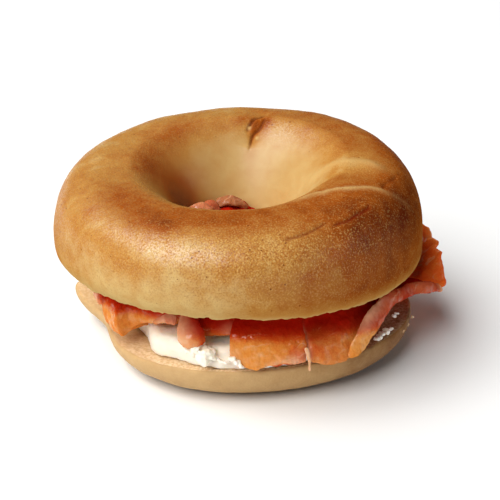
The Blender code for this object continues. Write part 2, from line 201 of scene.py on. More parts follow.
# Shader maths: a Wire is a socket that can be used like a number
class Wire:
    def __init__(self, paint, socket):
        self.paint = paint
        self.socket = socket

    def math(self, operation, first, second):
        return self.paint.node("ShaderNodeMath", {"operation": operation}, {0: first, 1: second})

    def __add__(self, other):
        return self.math("ADD", self, other)

    def __radd__(self, other):
        return self.math("ADD", other, self)

    def __sub__(self, other):
        return self.math("SUBTRACT", self, other)

    def __rsub__(self, other):
        return self.math("SUBTRACT", other, self)

    def __mul__(self, other):
        return self.math("MULTIPLY", self, other)

    def __rmul__(self, other):
        return self.math("MULTIPLY", other, self)


class Paint:
    def __init__(self, name):
        self.material = bpy.data.materials.new(name)
        self.material.use_nodes = True
        self.tree = self.material.node_tree
        self.shader = self.tree.nodes["Principled BSDF"]

    def node(self, kind, settings, inputs, output=0):
        made = self.tree.nodes.new(kind)
        for name, value in settings.items():
            if name == "stops":
                elements = made.color_ramp.elements
                while len(elements) < len(value):
                    elements.new(1.0)
                for element, (position, colour) in zip(elements, value):
                    element.position = position
                    element.color = colour
            else:
                setattr(made, name, value)
        for name, value in inputs.items():
            if isinstance(value, Wire):
                self.tree.links.new(value.socket, made.inputs[name])
            else:
                made.inputs[name].default_value = value
        return Wire(self, made.outputs[output])

    def place(self):
        return self.node("ShaderNodeTexCoord", {}, {}, "Object")

    def mask(self, name):
        return self.node("ShaderNodeAttribute", {"attribute_name": name}, {}, "Fac")

    def grain(self, place, size, detail=2.0, warp=0.0):
        # noise from 0 to 1 with grains of this size in metres
        inputs = {"Vector": place, "Scale": 1.0 / size, "Detail": detail, "Distortion": warp}
        return self.node("ShaderNodeTexNoise", {}, inputs, "Fac")

    def cells(self, place, size):
        return self.node("ShaderNodeTexVoronoi", {}, {"Vector": place, "Scale": 1.0 / size}, "Distance")

    def fit(self, value, low, high, toLow=0.0, toHigh=1.0):
        inputs = {0: value, 1: low, 2: high, 3: toLow, 4: toHigh}
        return self.node("ShaderNodeMapRange", {"interpolation_type": "SMOOTHSTEP"}, inputs)

    def blend(self, share, first, second):
        # colour mix; 6 and 7 are the colour sockets of the mix node
        settings = {"data_type": "RGBA"}
        return self.node("ShaderNodeMix", settings, {0: share, 6: first, 7: second}, 2)

    def ramp(self, value, values):
        stops = [(position, values[tint]) for position, tint in values["ramp"]]
        return self.node("ShaderNodeValToRGB", {"stops": stops}, {"Fac": value}, "Color")

    def bump(self, height, distance, strength):
        inputs = {"Height": height, "Distance": distance, "Strength": strength}
        return self.node("ShaderNodeBump", {}, inputs)

    def shine(self, fixed, varying):
        # fixed values go on the shader's own sockets, varying ones are linked
        for name, value in fixed.items():
            self.shader.inputs[name].default_value = value
        for name, wire in varying.items():
            self.tree.links.new(wire.socket, self.shader.inputs[name])
        return self.material


# Upper half of the bagel, in metres and degrees, round the middle of its hole
upperHalf = {
    "radius": 54.9 * mm,
    "waves": ((1, -0.008, 0.004), (2, 0.007, 0.012), (3, 0.002, 0.016)),
    "swell": (0.0, 24.0, 0.7 * mm),
    "crestShare": 0.595,
    "crestHeight": 58.3 * mm,
    "crestSlope": (0.038, 0.084),
    "frontRise": (-90.0, 50.0, 1.5 * mm),
    "cutHeight": 25.5 * mm,
    "cutSlope": (-0.044, -0.110),
    "cutBend": 0.65,
    "bellyRise": 7.7 * mm,
    "bellyDepth": 5.8 * mm,
    "throat": 12.8 * mm,
    "fullness": (2.3, 2.9, 1.65),  # belly, shoulder, hole's wall
    "turns": 480,
    "steps": (14, 26, 76, 84),  # cut face, belly, shoulder, hole's wall
    "lump": (20.0 * mm, 0.6 * mm),
    "smallLumps": ((6.0 * mm, 0.14 * mm), (2.4 * mm, 0.05 * mm)),
    "smoothWall": 0.7,
    "wrinkles": (2.0, 16.0, 1.5 * mm, 0.05 * mm),  # angle, spread, size, depth
    "stretch": (0.35, 1.0, 0.35),
    "raggedEdge": ((3.8 * mm, 1.15 * mm), (1.5 * mm, 0.85 * mm)),
    "raggedWidth": 0.36,
    "notches": (0.25, 1.2),  # the noise where they start, and how much deeper they bite
    "pores": (2.6 * mm, 0.7 * mm),
    "mattSide": (-12.0, 52.0),
    # angle, place, both spreads and the amount
    "dullSpot": (-85.0, 1.95, 45.0, 0.2, 0.6),
    "grainySpot": (-84.0, 1.42, 40.0, 0.34, 0.68),
}

# Lines on the upper half, each with its width, wobble, seed and marks of angle and place. Over
# the section, place 0 is the cut edge, 1 the widest line outside, 2 the crest and 3 the throat.
# First the twist in the dough, at the right
twist = {
    "farRidge": (2.1 * mm, 0.35, 4.0, (
        (9, 2.50), (5, 2.42), (2, 2.36), (0, 2.28), (-2, 2.19), (-5, 2.05), (-5.5, 1.94), (-7, 1.86),
        (-7, 1.77),
    )),
    "farRise": 0.50 * mm,
    "nearRidge": (0.95 * mm, 0.45, 6.0, (
        (-62, 2.07), (-52, 2.03), (-44, 1.99), (-38, 1.965), (-33, 1.90), (-28, 1.82), (-25, 1.74),
        (-22, 1.62),
    )),
    "nearTail": (0.95 * mm, 0.5, 8.0, ((-25, 1.75), (-23, 1.65), (-21, 1.55), (-18, 1.43), (-16, 1.33))),
    "tailShare": 0.2,
    "nearRise": 0.40 * mm,
    "trough": (3.2 * mm, 0.1, 3.0, (
        (-22, 2.36), (-21, 2.24), (-19, 2.10), (-18, 1.98), (-17, 1.88), (-16, 1.78), (-14, 1.68),
    )),
    "troughDepth": 0.45 * mm,
    "cracks": (
        (0.75, ((-76, 1.565), (-72, 1.58), (-68, 1.59), (-65, 1.61), (-61, 1.645), (-57, 1.675))),
        (1.0, (
            (-57, 1.60), (-54, 1.61), (-50, 1.60), (-47, 1.61), (-44, 1.62), (-40, 1.62), (-37.5, 1.63),
            (-36, 1.67),
        )),
    ),
    "crackLine": (0.42 * mm, 0.5, 7.0),
    "crackDepth": 0.40 * mm,
    "pit": (0.55 * mm, 0.5, 11.0, ((-22, 1.70), (-18.5, 1.71), (-15, 1.69), (-11, 1.66), (-8, 1.655))),
    "farShare": 0.75,
    "wobbleSize": 1.8 * mm,
    "fade": (-0.04, 0.16),
    "mark": (0.55 * mm, 0.4, 13.0, ((-7, 1.64), (-5, 1.62))),
    "markShare": 0.7,
    "pitDepth": 0.3 * mm,
}

# The open seam at the back: two torn lines round a raised island, in a valley
seam = {
    "gashes": (
        ((75, 1.98), (77.5, 2.01), (80, 2.06), (81.5, 2.13), (83, 2.19), (84, 2.25)),
        ((74, 2.03), (74.5, 2.10), (75, 2.17), (76, 2.22), (79, 2.26), (80.5, 2.32), (81, 2.39)),
    ),
    "gashLine": (0.45 * mm, 0.6, 5.0),
    "gashDepth": 0.7 * mm,
    "valley": (3.4 * mm, 0.1, 15.0, ((76, 1.94), (77.5, 2.10), (79.5, 2.24), (81, 2.38))),
    "valleyDepth": 0.8 * mm,
    "flecks": ((83, 2.20), (76.5, 2.30)),
    "fleckWidth": 0.62 * mm,
    "fleckRise": 0.35 * mm,
}

# Where the crust is darker or paler: the colour of its bake, and painted shade on the hole's left wall,
# the right side and the lower front. Angle, place, both spreads and the amount
baked = (
    (-95, 1.90, 50, 0.20, 0.34), (-121, 1.76, 9, 0.12, 0.24), (-122, 1.16, 9, 0.12, 0.26),
    (-140, 1.95, 22, 0.20, 0.14), (-135, 1.75, 26, 0.25, 0.10), (-112, 1.50, 18, 0.22, -0.06),
    (-48, 1.40, 22, 0.60, 0.44), (-18, 1.40, 24, 0.50, 0.50), (-70, 0.55, 24, 0.40, 0.10),
    (-112, 0.92, 28, 0.38, -0.30), (-78, 0.70, 22, 0.40, 0.14), (20, 1.70, 26, 0.50, 0.36),
    (60, 1.98, 26, 0.16, 0.24), (125, 2.12, 30, 0.16, 0.20), (55, 2.10, 16, 0.18, -0.12),
    (166, 2.62, 32, 0.34, 0.88), (176, 2.20, 20, 0.16, 0.22), (72, 2.14, 4, 0.12, 0.40),
    (88, 2.08, 5, 0.10, 0.25), (-8, 2.02, 14, 0.16, -0.25), (80, 2.46, 5, 0.12, 0.10),
    (79, 2.20, 4, 0.13, 0.55),
)


def sectionPlaces(steps, fullness):
    # places over the section, spaced evenly along its rounded arcs
    places = [np.linspace(-1.0, 0.0, steps[0], endpoint=False)]
    for arc, (count, full) in enumerate(zip(steps[1:], fullness)):
        lean = np.linspace(0.0, quarterTurn, count, endpoint=False)
        places.append(arc + np.arctan(np.tan(lean) ** (0.5 * full)) / quarterTurn)
    return np.concatenate(places)


def outlineRadius(angle, radius, waves):
    share = 1.0
    for count, cosine, sine in waves:
        share = share + cosine * np.cos(count * angle) + sine * np.sin(count * angle)
    return radius * share


def upperCut(x, y):
    slopeX, slopeY = upperHalf["cutSlope"]
    return upperHalf["cutHeight"] + slopeX * x + slopeY * y + upperHalf["cutBend"] * y * y


def upperCrest(x, y):
    slopeX, slopeY = upperHalf["crestSlope"]
    centre, spread, rise = upperHalf["frontRise"]
    lift = rise * nearness(np.arctan2(y, x), centre, spread)
    return upperHalf["crestHeight"] + slopeX * x + slopeY * y + lift


def upperSurface(angle, place):
    # points of the smooth upper half at these angles and places
    made = upperHalf
    centre, spread, reach = made["swell"]
    outer = outlineRadius(angle, made["radius"], made["waves"])
    outer = outer + reach * nearness(angle, centre, spread)
    throat = made["throat"]
    crestRadius = made["crestShare"] * outer
    edgeRadius = outer - made["bellyDepth"]
    cosine = np.cos(angle)
    sine = np.sin(angle)
    foot = upperCut(throat * cosine, throat * sine)
    crest = upperCrest(crestRadius * cosine, crestRadius * sine)
    belly = upperCut(edgeRadius * cosine, edgeRadius * sine) + made["bellyRise"]
    turn = quarterTurn * np.clip(place - np.clip(np.floor(place), 0.0, 2.0), 0.0, 1.0)
    outwards = [np.sin(turn) ** (2.0 / full) for full in made["fullness"]]
    inwards = [np.cos(turn) ** (2.0 / full) for full in made["fullness"]]
    cutRadius = throat + (edgeRadius - throat) * (place + 1.0)
    radius = np.where(place < 0.0, cutRadius, edgeRadius + made["bellyDepth"] * outwards[0])
    height = np.where(
        place < 0.0,
        upperCut(cutRadius * cosine, cutRadius * sine),
        belly - made["bellyRise"] * inwards[0],
    )
    radius = np.where(place >= 1.0, crestRadius + (outer - crestRadius) * inwards[1], radius)
    height = np.where(place >= 1.0, belly + (crest - belly) * outwards[1], height)
    radius = np.where(place >= 2.0, crestRadius - (crestRadius - throat) * outwards[2], radius)
    height = np.where(place >= 2.0, foot + (crest - foot) * inwards[2], height)
    return np.stack([radius * cosine, radius * sine, height], axis=-1)


def upperLine(marks, count=32):
    # line of points on the upper half through rows of angle and place
    rows = curveThrough(marks, np.linspace(0.0, 1.0, count))
    return upperSurface(np.radians(rows[:, 0]), rows[:, 1])


def drawnLine(grid, width, wobble, seed, marks):
    # soft uneven line over the upper half, fading at both ends
    away, along = distanceToLine(grid, upperLine(marks))
    away = away * (1.0 + wobble * noiseAt(grid, twist["wobbleSize"], seed))
    return bell(away, 0.0, width) * smoothStep(np.minimum(along, 1.0 - along), *twist["fade"])


def spotAt(angle, place, centre, middle, spread, width, amount):
    # soft spot round an angle and a place over the section
    return amount * nearness(angle, centre, spread) * bell(place, middle, width)


def makeUpperHalf():
    made = upperHalf
    angles = np.linspace(-math.pi, math.pi, made["turns"], endpoint=False)[:, None]
    places = sectionPlaces(made["steps"], made["fullness"])[None, :]
    angle = angles + 0.0 * places
    place = places + 0.0 * angles
    grid = upperSurface(angles, place)
    normals = gridNormals(grid)
    crust = smoothStep(place, -0.02, 0.06)

    # broad lumps, and the ridges and trough of the twist
    size, depth = made["lump"]
    rise = depth * -noiseAt(grid, size) * smoothStep(place, 0.0, 1.0)
    farRidge = drawnLine(grid, *twist["farRidge"])
    nearRidge = drawnLine(grid, *twist["nearRidge"])
    nearRidge += twist["tailShare"] * drawnLine(grid, *twist["nearTail"])
    rise += twist["farRise"] * farRidge + twist["nearRise"] * nearRidge
    rise -= twist["troughDepth"] * drawnLine(grid, *twist["trough"])

    # cracks, pit and open seam
    crack = 0.0 * place
    for strength, marks in twist["cracks"]:
        crack = np.maximum(crack, strength * drawnLine(grid, *twist["crackLine"], marks))
    pit = twist["markShare"] * drawnLine(grid, *twist["mark"])
    pit = np.maximum(pit, drawnLine(grid, *twist["pit"]))
    valley = drawnLine(grid, *seam["valley"])
    gash = 0.0 * place
    for marks in seam["gashes"]:
        gash = np.maximum(gash, drawnLine(grid, *seam["gashLine"], marks))
    fleck = 0.0 * place
    for mark in seam["flecks"]:
        away = np.linalg.norm(grid - upperLine((mark, mark), 2)[0], axis=-1)
        fleck = np.maximum(fleck, bell(away, 0.0, seam["fleckWidth"]))
    rise -= twist["crackDepth"] * crack + twist["pitDepth"] * pit
    rise += seam["fleckRise"] * fleck - seam["valleyDepth"] * valley - seam["gashDepth"] * gash

    # small lumps, and wrinkles that run up the right side
    calm = 1.0 - made["smoothWall"] * smoothStep(place, 2.0, 2.3)
    for size, depth in made["smallLumps"]:
        rise += depth * noiseAt(grid, size, 19.0) * calm * crust
    centre, spread, size, depth = made["wrinkles"]
    shoulder = smoothStep(place, 0.9, 1.2) * (1.0 - smoothStep(place, 1.9, 2.2))
    stretched = grid * made["stretch"]
    rise += depth * noiseAt(stretched, size, 23.0) * nearness(angle, centre, spread) * shoulder
    grid = grid + normals * rise[..., None]

    # the torn rim of the cut, with notches that bite upwards
    rim = bell(place, 0.0, made["raggedWidth"])
    start, bite = made["notches"]
    for size, depth in made["raggedEdge"]:
        torn = noiseAt(grid, size, 31.0)
        grid[..., 2] += depth * (torn + bite * np.maximum(torn - start, 0.0)) * rim
    size, depth = made["pores"]
    grid[..., 2] += depth * (1.0 - crust) * (1.0 - rim) * poresAt(grid, size, 2.0)

    dulled = spotAt(angle, place, *made["dullSpot"])
    masks = {
        "crumb": 1.0 - crust,
        "place": place,
        "ridge": np.clip(twist["farShare"] * farRidge + nearRidge, 0.0, 1.0),
        "crack": crack,
        "pit": pit,
        "gash": gash * (1.0 - fleck),
        "fleck": fleck,
        # colour of the bake and painted shade, summed over the spots
        "baked": sum(spotAt(angle, place, *row) for row in baked),
        "glossy": (1.0 - nearness(angle, *made["mattSide"])) * (1.0 - dulled) * (1.0 - valley),
        "grainy": 1.0 - made["grainySpot"][-1] + spotAt(angle, place, *made["grainySpot"]),
    }
    return grid, masks


upperGrid, upperMasks = makeUpperHalf()
upperLow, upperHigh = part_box("bagel_top")
drawnLow = upperGrid.reshape(-1, 3).min(0)
drawnHigh = upperGrid.reshape(-1, 3).max(0)
# the drawing's origin, the middle of the upper hole, in the frame
upperCentre = 0.5 * np.array(upperLow + upperHigh) - 0.5 * (drawnLow + drawnHigh)
upperCentre[2] = 0.0
upperBread = ringPiece("upperBread", upperGrid + upperCentre, upperMasks)
print("upper half made:", len(upperBread.data.polygons), "faces, centre", upperCentre.round(5))


# Lower half of the bagel, round its own middle
lowerHalf = {
    "centre": (6.3 * mm, -1.2 * mm),
    "radius": 45.7 * mm,
    "waves": ((2, 0.011, 0.023), (3, 0.011, -0.026)),
    "cutHeight": 10.2 * mm,
    "cutSlope": (0.039, -0.055),
    "edgeDrop": 1.0 * mm,
    "edgeInset": 0.8 * mm,
    "footWidth": 15.0 * mm,
    "hole": 11.0 * mm,
    "flare": 5.5 * mm,
    "bulge": (166.0, 13.5, 15.0 * mm),
    "bulgeRise": 2.6 * mm,
    "undercut": 13.0 * mm,
    "swell": (-150.0, 16.0, 0.3 * mm),
    "turns": 480,
    "steps": (20, 48, 4, 68, 24),  # base, foot, cut edge, cut face, hole's wall
    "crustLumps": ((7.0 * mm, 0.16 * mm), (2.2 * mm, 0.05 * mm)),
    "pores": ((2.3 * mm, 0.75 * mm), (1.1 * mm, 0.35 * mm)),
    "smoothCut": (-170.0, 30.0),
    "smoothShare": 0.9,
    "standing": (0.4 * mm, 3.0 * mm),
    "poresFrom": (3.0, 3.03),
    "cutFrom": (2.75, 3.02),
    "cutTo": (3.97, 4.02),
    "baseTo": 2.5 * mm,
    "cutGrain": (1.2 * mm, 0.16 * mm),
    "rimGrain": ((2.4 * mm, 0.22 * mm, 47.0), (1.0 * mm, 0.12 * mm, 48.0)),
    "rimPlace": (2.9, 0.25),
    "rightSide": (-22.0, 46.0),
}


def lowerCut(x, y):
    made = lowerHalf
    slopeX, slopeY = made["cutSlope"]
    level = made["cutHeight"] + slopeX * x + slopeY * y
    awayX = x - made["centre"][0]
    awayY = y - made["centre"][1]
    lift = made["bulgeRise"] * nearness(np.arctan2(awayY, awayX), *made["bulge"][:2])
    return level + lift * (awayX ** 2 + awayY ** 2) / made["radius"] ** 2


def lowerRim(angle):
    rim = outlineRadius(angle, lowerHalf["radius"], lowerHalf["waves"])
    for centre, spread, reach in (lowerHalf["bulge"], lowerHalf["swell"]):
        rim = rim + reach * nearness(angle, centre, spread)
    return rim


def lowerPoint(angle, radius):
    # point over the lower half's middle, in the drawing's frame
    x = lowerHalf["centre"][0] + radius * np.cos(angle)
    y = lowerHalf["centre"][1] + radius * np.sin(angle)
    return x, y


def makeLowerHalf():
    made = lowerHalf
    angle = np.linspace(-math.pi, math.pi, made["turns"], endpoint=False)
    rim = lowerRim(angle)
    edge = rim - made["edgeInset"]
    footWidth = made["footWidth"] + made["undercut"] * nearness(angle, *made["bulge"][:2])
    foot = rim - footWidth
    hole = made["hole"]
    flare = hole + made["flare"]
    widest = lowerCut(*lowerPoint(angle, rim)) - made["edgeDrop"]
    edgeHeight = lowerCut(*lowerPoint(angle, edge))
    holeHeight = lowerCut(*lowerPoint(angle, hole + 0.0 * angle))

    def cutFace(share, sine, cosine):
        radius = edge + (hole - edge) * share
        return radius, lowerCut(*lowerPoint(angle, radius))

    arcs = (
        lambda share, sine, cosine: (flare + (foot - flare) * share, 0.0 * angle),
        lambda share, sine, cosine: (foot + footWidth * sine, widest * (1.0 - cosine)),
        lambda share, sine, cosine: (
            rim - made["edgeInset"] * share ** 2,
            widest + (edgeHeight - widest) * sine,
        ),
        cutFace,
        lambda share, sine, cosine: (
            flare - made["flare"] * cosine + 0.0 * angle,
            holeHeight * (1.0 - sine),
        ),
    )
    radii, heights, places = overSection(made["steps"], arcs)
    angles = angle[:, None] + 0.0 * radii
    x, y = lowerPoint(angles, radii)
    grid = np.stack([x, y, heights], axis=-1)
    place = places[None, :] + 0.0 * radii
    smoothed = made["smoothShare"] * nearness(angles, *made["smoothCut"])
    crumb = (np.floor(place) == 3.0) * (1.0 - smoothed)
    normals = gridNormals(grid)
    standing = smoothStep(grid[..., 2], *made["standing"])
    rise = 0.0 * radii
    for size, depth in made["crustLumps"]:
        rise += depth * noiseAt(grid, size, 41.0) * (1.0 - crumb) * standing
    for size, depth in made["pores"]:
        rise -= depth * poresAt(grid, size, 5.0) * crumb * smoothStep(place, *made["poresFrom"])
    size, depth = made["cutGrain"]
    rise += depth * noiseAt(grid, size, 43.0) * crumb
    for size, depth, seed in made["rimGrain"]:
        rise += depth * noiseAt(grid, size, seed) * bell(place, *made["rimPlace"])
    grid = grid + normals * rise[..., None]
    grid[..., 2] = np.maximum(grid[..., 2], 0.0)
    cut = smoothStep(place, *made["cutFrom"]) * (1.0 - smoothStep(place, *made["cutTo"]))
    masks = {
        "crumb": np.minimum(cut, crumb + (place < 3.0)),
        "base": 1.0 - smoothStep(grid[..., 2], 0.0, made["baseTo"]),
        "rightSide": nearness(angles, *made["rightSide"]),
    }
    return grid, masks


lowerGrid, lowerMasks = makeLowerHalf()
lowerBread = ringPiece("lowerBread", lowerGrid + upperCentre, lowerMasks)
print("lower half made:", len(lowerBread.data.polygons), "faces")


# Cream cheese on the lower cut face: its outline as degrees and millimetres round the lower half
cheese = {
    "inner": 14.5 * mm,
    "outline": (
        (-180, 47.5), (-170, 43.0), (-160, 39.5), (-150, 38.9), (-145.3, 40.5), (-142.5, 41.5),
        (-136.6, 43.4), (-132.9, 43.6), (-128.7, 43.6), (-124.7, 43.2), (-119.7, 43.6), (-110, 43.8),
        (-104.4, 43.9), (-100, 43.0), (-94, 43.2), (-84, 43.0), (-70, 41.5), (-50, 40.6), (-38, 39.5),
        (-30, 38.5), (-18, 38.0), (-5, 39.0), (0, 40.2), (30, 40.6), (60, 40.0), (90, 40.8),
        (120, 41.0), (140, 42.0), (150, 45.0), (160, 50.0), (170, 50.5), (180, 47.5),
    ),
    "thickness": 6.6 * mm,
    "edgeRound": 3.2 * mm,
    "edgeFullness": 0.8,
    "gap": 0.3 * mm,
    "leastGap": 0.15 * mm,
    "thinPlaces": ((0.0, 60.0, 0.30), (90.0, 60.0, 0.15)),
    "turns": 300,
    "steps": (14, 22, 30, 8),  # underside, outer edge, upper side, inner edge
    "voxel": 0.48 * mm,
    "lumps": ((7.0 * mm, 0.7 * mm), (2.8 * mm, 0.22 * mm), (1.1 * mm, 0.06 * mm)),
    "lumpSeed": 53.0,
    "curdSeed": 5,
    "curdBumps": (0.35, 1.6),  # depth, and bumps over its radius
    "curdShift": 0.35,
    "curdSizes": (0.6, 1.0),
    "curdVoxel": 0.24 * mm,
    "curdLumps": ((0.9 * mm, 0.25 * mm), (0.4 * mm, 0.10 * mm)),
}

# Torn lumps: degrees, radius, height and size in millimetres
curds = (
    (-117, 45.4, 17.4, 1.3), (-115.4, 45.4, 18.5, 1.5), (-113.7, 45.6, 19.0, 1.7),
    (-112, 45.8, 18.4, 1.9), (-110.5, 45.9, 18.1, 1.9), (-109, 45.9, 18.0, 1.5),
    (-110.4, 46.1, 16.6, 1.9), (-109.6, 46.2, 15.4, 1.4), (-110.7, 46.2, 14.8, 1.0),
    (-112.4, 45.6, 16.4, 1.4), (-114.7, 45.2, 16.9, 1.2), (-108.1, 45.7, 17.2, 0.9),
    (-106.9, 45.4, 16.5, 0.7), (-105.5, 45.3, 16.2, 0.6), (-104.1, 45.2, 15.9, 0.7),
    (-102.6, 45.3, 16.0, 0.7), (-101.3, 45.9, 17.8, 0.9), (-100.1, 46.3, 17.4, 0.9),
    (-98.8, 46.6, 16.9, 0.9), (-97.6, 46.8, 16.1, 0.8), (-96.5, 46.9, 15.6, 0.5),
    (-40.8, 45.2, 15.2, 0.8), (-38.9, 45.2, 15.0, 0.9), (-36.9, 45.2, 15.2, 0.9),
    (-34.7, 45.2, 15.4, 0.8), (-32.3, 45.2, 15.0, 0.7), (-30.2, 45.2, 14.7, 0.5),
    (-27.7, 45, 17.9, 0.6), (-24.5, 45, 17.6, 0.5),
)

# Loose crumbs on the rim
crumbs = ((-16.8, 46.5, 10.7, 0.6), (-23.0, 46.5, 11.2, 0.5), (-10.7, 47.3, 11.2, 0.7))


def cheeseOutline(angle):
    # radius of the cheese's edge at these angles
    table = np.array(cheese["outline"], float)
    return np.interp(np.degrees(angle), table[:, 0], table[:, 1], period=360.0) * mm


def makeCheese():
    made = cheese
    inner = made["inner"]
    full = made["edgeFullness"]
    angle = np.linspace(-math.pi, math.pi, made["turns"], endpoint=False)
    nearby = np.radians(np.arange(-2.0, 3.0))[:, None]
    outer = cheeseOutline(angle[None, :] + nearby).mean(axis=0)
    top = outer - made["edgeRound"]
    thickness = made["thickness"] + 0.0 * angle
    for centre, spread, share in made["thinPlaces"]:
        thickness = thickness - made["thickness"] * share * nearness(angle, centre, spread)
    arcs = (
        lambda share, sine, cosine: (inner + (outer - inner) * share, 0.0 * angle),
        lambda share, sine, cosine: (
            outer - made["edgeRound"] * (1.0 - cosine ** full),
            thickness * sine ** full,
        ),
        lambda share, sine, cosine: (top + (inner - top) * share, thickness),
        lambda share, sine, cosine: (inner + 0.0 * angle, thickness * (1.0 - share)),
    )
    radii, rises, places = overSection(made["steps"], arcs)
    x, y = lowerPoint(angle[:, None] + 0.0 * radii, radii)
    grid = np.stack([x, y, lowerCut(x, y) + made["gap"] + rises], axis=-1)
    mesh = remeshed(ringPiece("cheeseBase", grid, {}), made["voxel"])
    return roughened("creamCheese", mesh, made["lumps"], {}, True)


def remeshed(piece, voxel):
    # one closed skin over everything in the piece
    skin = piece.modifiers.new("skin", "REMESH")
    skin.mode = "VOXEL"
    skin.voxel_size = voxel
    return finalMesh(piece)


def roughened(name, mesh, lumps, masks, resting=False):
    # uneven skin of cheese or crumb, in the frame; a resting one stays over the cut face
    points = vertexValues(mesh, "vertices", "co")
    normals = vertexValues(mesh, "vertex_normals", "vector")
    rise = 0.0 * points[:, 0]
    for size, depth in lumps:
        rise += depth * noiseAt(points, size, cheese["lumpSeed"])
    points = points + normals * rise[:, None]
    if resting:
        lowest = lowerCut(points[:, 0], points[:, 1]) + cheese["leastGap"]
        points[:, 2] = np.maximum(points[:, 2], lowest)
    mesh.vertices.foreach_set("co", (points + upperCentre).ravel())
    mesh.update()
    mesh.name = name
    return finishPiece(name, mesh, {mask: np.full(len(points), value) for mask, value in masks.items()})


def lumpOn(shape, middle, size, chance):
    # one small uneven lump
    turned = Vector((chance.random(), chance.random(), chance.random())) * 100.0
    depth, fineness = cheese["curdBumps"]
    made = bmesh.ops.create_icosphere(shape, subdivisions=2, radius=1.0)
    for vertex in made["verts"]:
        bulge = 1.0 + depth * noise.noise(vertex.co * fineness + turned)
        vertex.co = middle + vertex.co * (bulge * size)


def makeLumps(name, rows, inward, masks):
    # torn lumps, each with a second one behind it that ties it to what lies inside
    shape = bmesh.new()
    chance = random.Random(cheese["curdSeed"])
    shift = cheese["curdShift"]
    for degrees, radius, height, size in rows:
        for back in inward:
            x, y = lowerPoint(math.radians(degrees), (radius - back * size) * mm)
            away = Vector([chance.uniform(-shift, shift) for _ in range(3)]) * (size * mm)
            middle = Vector((x, y, (height - 0.1 * back) * mm)) + away
            lumpOn(shape, middle, chance.uniform(*cheese["curdSizes"]) * size * mm, chance)
    mesh = bpy.data.meshes.new(name)
    shape.to_mesh(mesh)
    shape.free()
    skin = remeshed(placed(name, mesh), cheese["curdVoxel"])
    return roughened(name, skin, cheese["curdLumps"], masks)


creamCheese = makeCheese()
cheeseCurds = makeLumps("cheeseCurds", curds, (0.0, 1.2), {})
breadCrumbs = makeLumps("breadCrumbs", crumbs, (0.0,), {"crumb": 1.0})
curdFaces = len(cheeseCurds.data.polygons)
print("cream cheese made:", len(creamCheese.data.polygons), "faces,", curdFaces, "in curds")


# Smoked salmon. Each slice is drawn round the lower half's middle as cut sections: an angle in
# degrees, then radius and height pairs in millimetres, from the inner top over the lip and back
salmon = {
    "turns": 170,
    "steps": 128,
    "cap": 0.06,
    "waver": ((6.5 * mm, 0.35 * mm), (2.6 * mm, 0.22 * mm)),
    "lipWaver": ((1.9 * mm, 0.26 * mm),),
    "grain": ((1.6 * mm, 0.20 * mm), (0.8 * mm, 0.12 * mm)),
    # painted shade: the salmon is darkest red up to these depths under the upper half's cut, and its
    # tone rises this much beyond
    "shadeDepth": (5.0 * mm, 10.5 * mm),
    "outOfShadeRise": 0.76,
    "rearTone": 0.25,
    "flake": 3.6 * mm,
    "lipPlace": (4.0, 0.6),
}

leftFold = [
    (degrees, 38, 26, 43, 27, 47.5, 26, 50.2, 24, lip, low, 48, 20.2, 43, 18, 38, 18)
    for degrees, lip, low in (
        (-170, 50.6, 20.6), (-166, 51, 20.6), (-162, 50.6, 20), (-159.6, 50.2, 20.1),
    )
] + [
    (degrees, 35, 29, 41, 29, 46.5, 26.5, 49.2, 21.5, lip, low, lip - 2.6, low + 0.2, 41, 15, 35, 16)
    for degrees, lip, low in (
        (-158.8, 49.9, 19), (-158.2, 49.6, 16.4), (-156, 49.3, 15.6), (-152.7, 49.1, 15.1),
        (-149.8, 48.7, 14.9), (-148.2, 48, 14.5),
    )
] + [
    (-147.6, 35, 29.3, 40.5, 29, 44.6, 26.2, 46.6, 21, 46.4, 15.2, 43.8, 15.4, 40, 16, 35, 17),
    (-147, 35, 29.3, 40.4, 29, 43.8, 26.2, 45.2, 21, 44.6, 16.6, 42.2, 16.6, 39.4, 17, 35, 17.4),
    (-145, 35, 29.4, 40.2, 29.1, 43, 26.4, 44, 21.8, 43.2, 17.8, 41, 17.8, 38.6, 18, 35, 18),
    (-142, 35, 29.5, 40, 29.3, 42.4, 26.5, 43.2, 22.8, 42.6, 19, 40.4, 18.8, 38, 18.4, 35, 18),
    (-138.5, 35, 29.6, 39.7, 29.4, 42, 26.8, 42.7, 23.6, 42, 19.7, 39.6, 19.5, 37.4, 18.8, 35, 18.4),
    (-136, 35, 29.6, 39.5, 29.4, 41.6, 27, 42, 24.4, 41, 21.1, 39.2, 20.6, 37, 19.4, 35, 18.6),
    (-132.5, 35, 29.6, 39.2, 29.3, 41.1, 27.2, 41.4, 25.2, 40, 22.8, 38.8, 21.8, 37, 20, 35, 18.8),
    (-125, 36, 29, 38, 28.6, 39.4, 27.4, 39.6, 26, 39, 24.4, 38, 23.4, 37, 22.4, 36, 21.4),
]

centreDrape = [
    (degrees, 35, 30, 41.3, top, 43.9, shoulder, 45.2, bend, lip, low, lip - 1.3, low + 0.2,
     41.5, 19.5, 36, 21.5)
    for degrees, top, shoulder, bend, lip, low in (
        (-101.9, 26.09, 24.3, 20.2, 45.6, 19), (-100.6, 26, 24.23, 20.2, 45.9, 17.2),
        (-98.8, 25.88, 24.1, 20.2, 46, 16.1), (-95.6, 25.67, 23.83, 20.2, 46, 15.3),
        (-92, 25.42, 23.5, 20.2, 46.1, 15), (-89, 25.22, 23.14, 20.2, 46, 15.6),
        (-86.9, 25.08, 22.8, 20.2, 45.9, 15.9), (-84.7, 24.93, 22.47, 20.2, 45.8, 15.6),
        (-82.2, 24.76, 22.22, 20.2, 45.7, 15.9), (-79.7, 24.59, 21.97, 19.97, 45.7, 15.7),
        (-77.2, 24.42, 21.75, 19.75, 45.7, 15.9), (-74.4, 24.23, 21.53, 19.53, 45.6, 15.9),
    )
] + [
    (-72.6, 36, 29, 41, 24, 43.2, 21, 44.4, 19, 44.9, 16.4, 43.6, 16.6, 41, 19.5, 36, 21.5),
]

